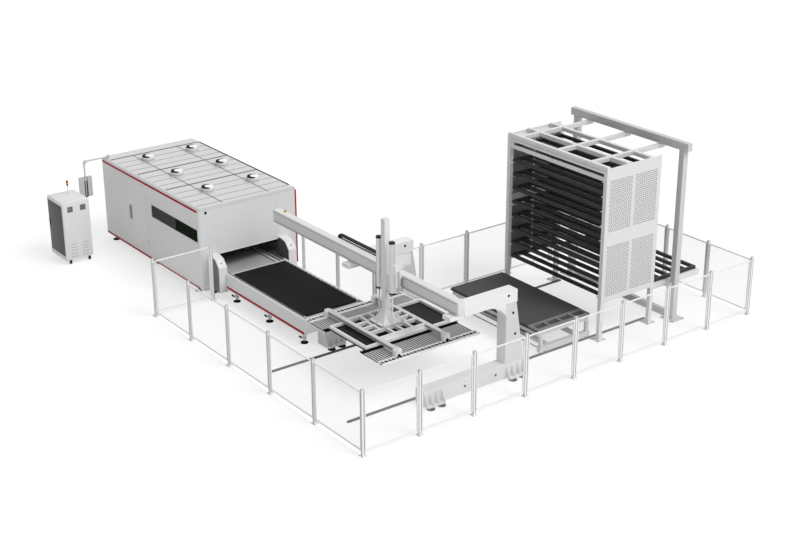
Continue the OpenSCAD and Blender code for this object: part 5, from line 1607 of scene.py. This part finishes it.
@dataclass(frozen=True)
class Studio:
    """Pale floor, soft light and the camera at the photograph's viewing angle."""

    sky: float = 0.63
    sky_lean: Point = (0.45, -0.25, 0.0)
    sun: float = 1.3
    sun_angle: float = 28.0
    sun_turn: tuple[float, float] = (38.0, 24.0)
    floor_size: float = 400.0
    floor_lift: float = 0.55
    floor_glow: float = 1.12
    focal_px: float = 1480.58
    frame_px: float = 800.0
    sensor_mm: float = 36.0
    azimuth: float = 36.846
    elevation: float = 22.214
    roll: float = -0.202
    eye: Point = (-20.6716, -28.4174, 14.7692)

    def build(self) -> None:
        """Set up the whole studio."""
        bpy.context.scene.view_settings.view_transform = "Standard"
        self.world()
        self.floor()
        self.lamp()
        self.camera()

    @staticmethod
    def seen(tree: bpy.types.NodeTree) -> bpy.types.NodeSocket:
        """Return 1 for rays that the eye, a mirror or a clear pane sends."""
        path = add(tree, "ShaderNodeLightPath")
        first = add(tree, "ShaderNodeMath", {"operation": "MAXIMUM"},
                    {0: path.outputs["Is Camera Ray"], 1: path.outputs["Is Glossy Ray"]})
        return add(tree, "ShaderNodeMath", {"operation": "MAXIMUM"},
                   {0: first.outputs[0], 1: path.outputs["Is Transmission Ray"]}).outputs[0]

    def world(self) -> None:
        """Light the cell with a sky that shows as white and is brighter at the front right."""
        world = bpy.data.worlds.new("studio_sky")
        world.use_nodes = True
        tree = world.node_tree
        tree.nodes.clear()
        way = add(tree, "ShaderNodeTexCoord").outputs["Generated"]
        lean = add(tree, "ShaderNodeVectorMath", {"operation": "DOT_PRODUCT"}, {0: way, 1: self.sky_lean})
        level = add(tree, "ShaderNodeMath", {"operation": "MULTIPLY_ADD"},
                    {0: lean.outputs["Value"], 1: self.sky, 2: self.sky})
        dim = add(tree, "ShaderNodeBackground", None, {"Color": (1, 1, 1, 1), "Strength": level.outputs[0]})
        white = add(tree, "ShaderNodeBackground", None, {"Color": (1, 1, 1, 1), "Strength": 1.0})
        both = add(tree, "ShaderNodeMixShader", None,
                   {0: self.seen(tree), 1: dim.outputs[0], 2: white.outputs[0]})
        add(tree, "ShaderNodeOutputWorld", None, {"Surface": both.outputs[0]})
        bpy.context.scene.world = world

    def floor(self) -> None:
        """Lay a pale floor that keeps the cell's shadow."""
        made = bpy.data.materials.new("pale_floor")
        made.use_nodes = True
        tree = made.node_tree
        tree.nodes.clear()
        matt = add(tree, "ShaderNodeBsdfDiffuse", None, {"Color": (0.8, 0.8, 0.8, 1)})
        bright = add(tree, "ShaderNodeBsdfDiffuse", None, {"Color": (1, 1, 1, 1)})
        glow = add(tree, "ShaderNodeEmission", None, {"Color": (1, 1, 1, 1), "Strength": self.floor_glow})
        lit = add(tree, "ShaderNodeMixShader", None,
                  {0: self.floor_lift, 1: bright.outputs[0], 2: glow.outputs[0]})
        both = add(tree, "ShaderNodeMixShader", None,
                   {0: self.seen(tree), 1: matt.outputs[0], 2: lit.outputs[0]})
        add(tree, "ShaderNodeOutputMaterial", None, {"Surface": both.outputs[0]})
        shape = Shape()
        bmesh.ops.create_grid(shape.bm, x_segments=1, y_segments=1, size=self.floor_size / 2,
                              matrix=Matrix.Translation((0, 0, -0.001)))
        floor = link("studio_floor", shape.mesh("studio_floor"))
        floor.data.materials.append(made)

    def lamp(self) -> None:
        """Hang one broad lamp over the front right."""
        lamp = bpy.data.lights.new("soft_lamp", "SUN")
        lamp.energy = self.sun
        lamp.angle = math.radians(self.sun_angle)
        obj = bpy.data.objects.new("soft_lamp", lamp)
        tip, turn = (math.radians(a) for a in self.sun_turn)
        obj.rotation_euler = (tip, 0.0, turn)
        bpy.context.scene.collection.objects.link(obj)

    def camera(self) -> None:
        """Stand the camera where the photograph was taken from."""
        data = bpy.data.cameras.new("eye")
        data.sensor_width = self.sensor_mm
        data.lens = self.focal_px / self.frame_px * self.sensor_mm
        data.clip_end = 500.0
        az, el, roll = (math.radians(a) for a in (self.azimuth, self.elevation, self.roll))
        ahead = Vector((math.sin(az) * math.cos(el), math.cos(az) * math.cos(el), -math.sin(el)))
        right = ahead.cross(Vector((0, 0, 1))).normalized()
        up = right.cross(ahead)
        side = math.cos(roll) * right + math.sin(roll) * up
        head = math.cos(roll) * up - math.sin(roll) * right
        matrix = Matrix((side, head, -ahead)).transposed().to_4x4()
        matrix.translation = Vector(self.eye)
        obj = bpy.data.objects.new("eye", data)
        obj.matrix_world = matrix
        bpy.context.scene.collection.objects.link(obj)
        bpy.context.scene.camera = obj


def main() -> None:
    """Build the studio and every station in order."""
    logging.basicConfig(level=logging.INFO, format="%(message)s")
    Studio().build()
    kit = Kit.make()
    for station in (Fence, Cabin, ExchangeTable, ChillerCabinet, ControlPanel, Loader, SheetCart,
                    StorageTower):
        station(kit).build()


if __name__ == "__main__":
    main()
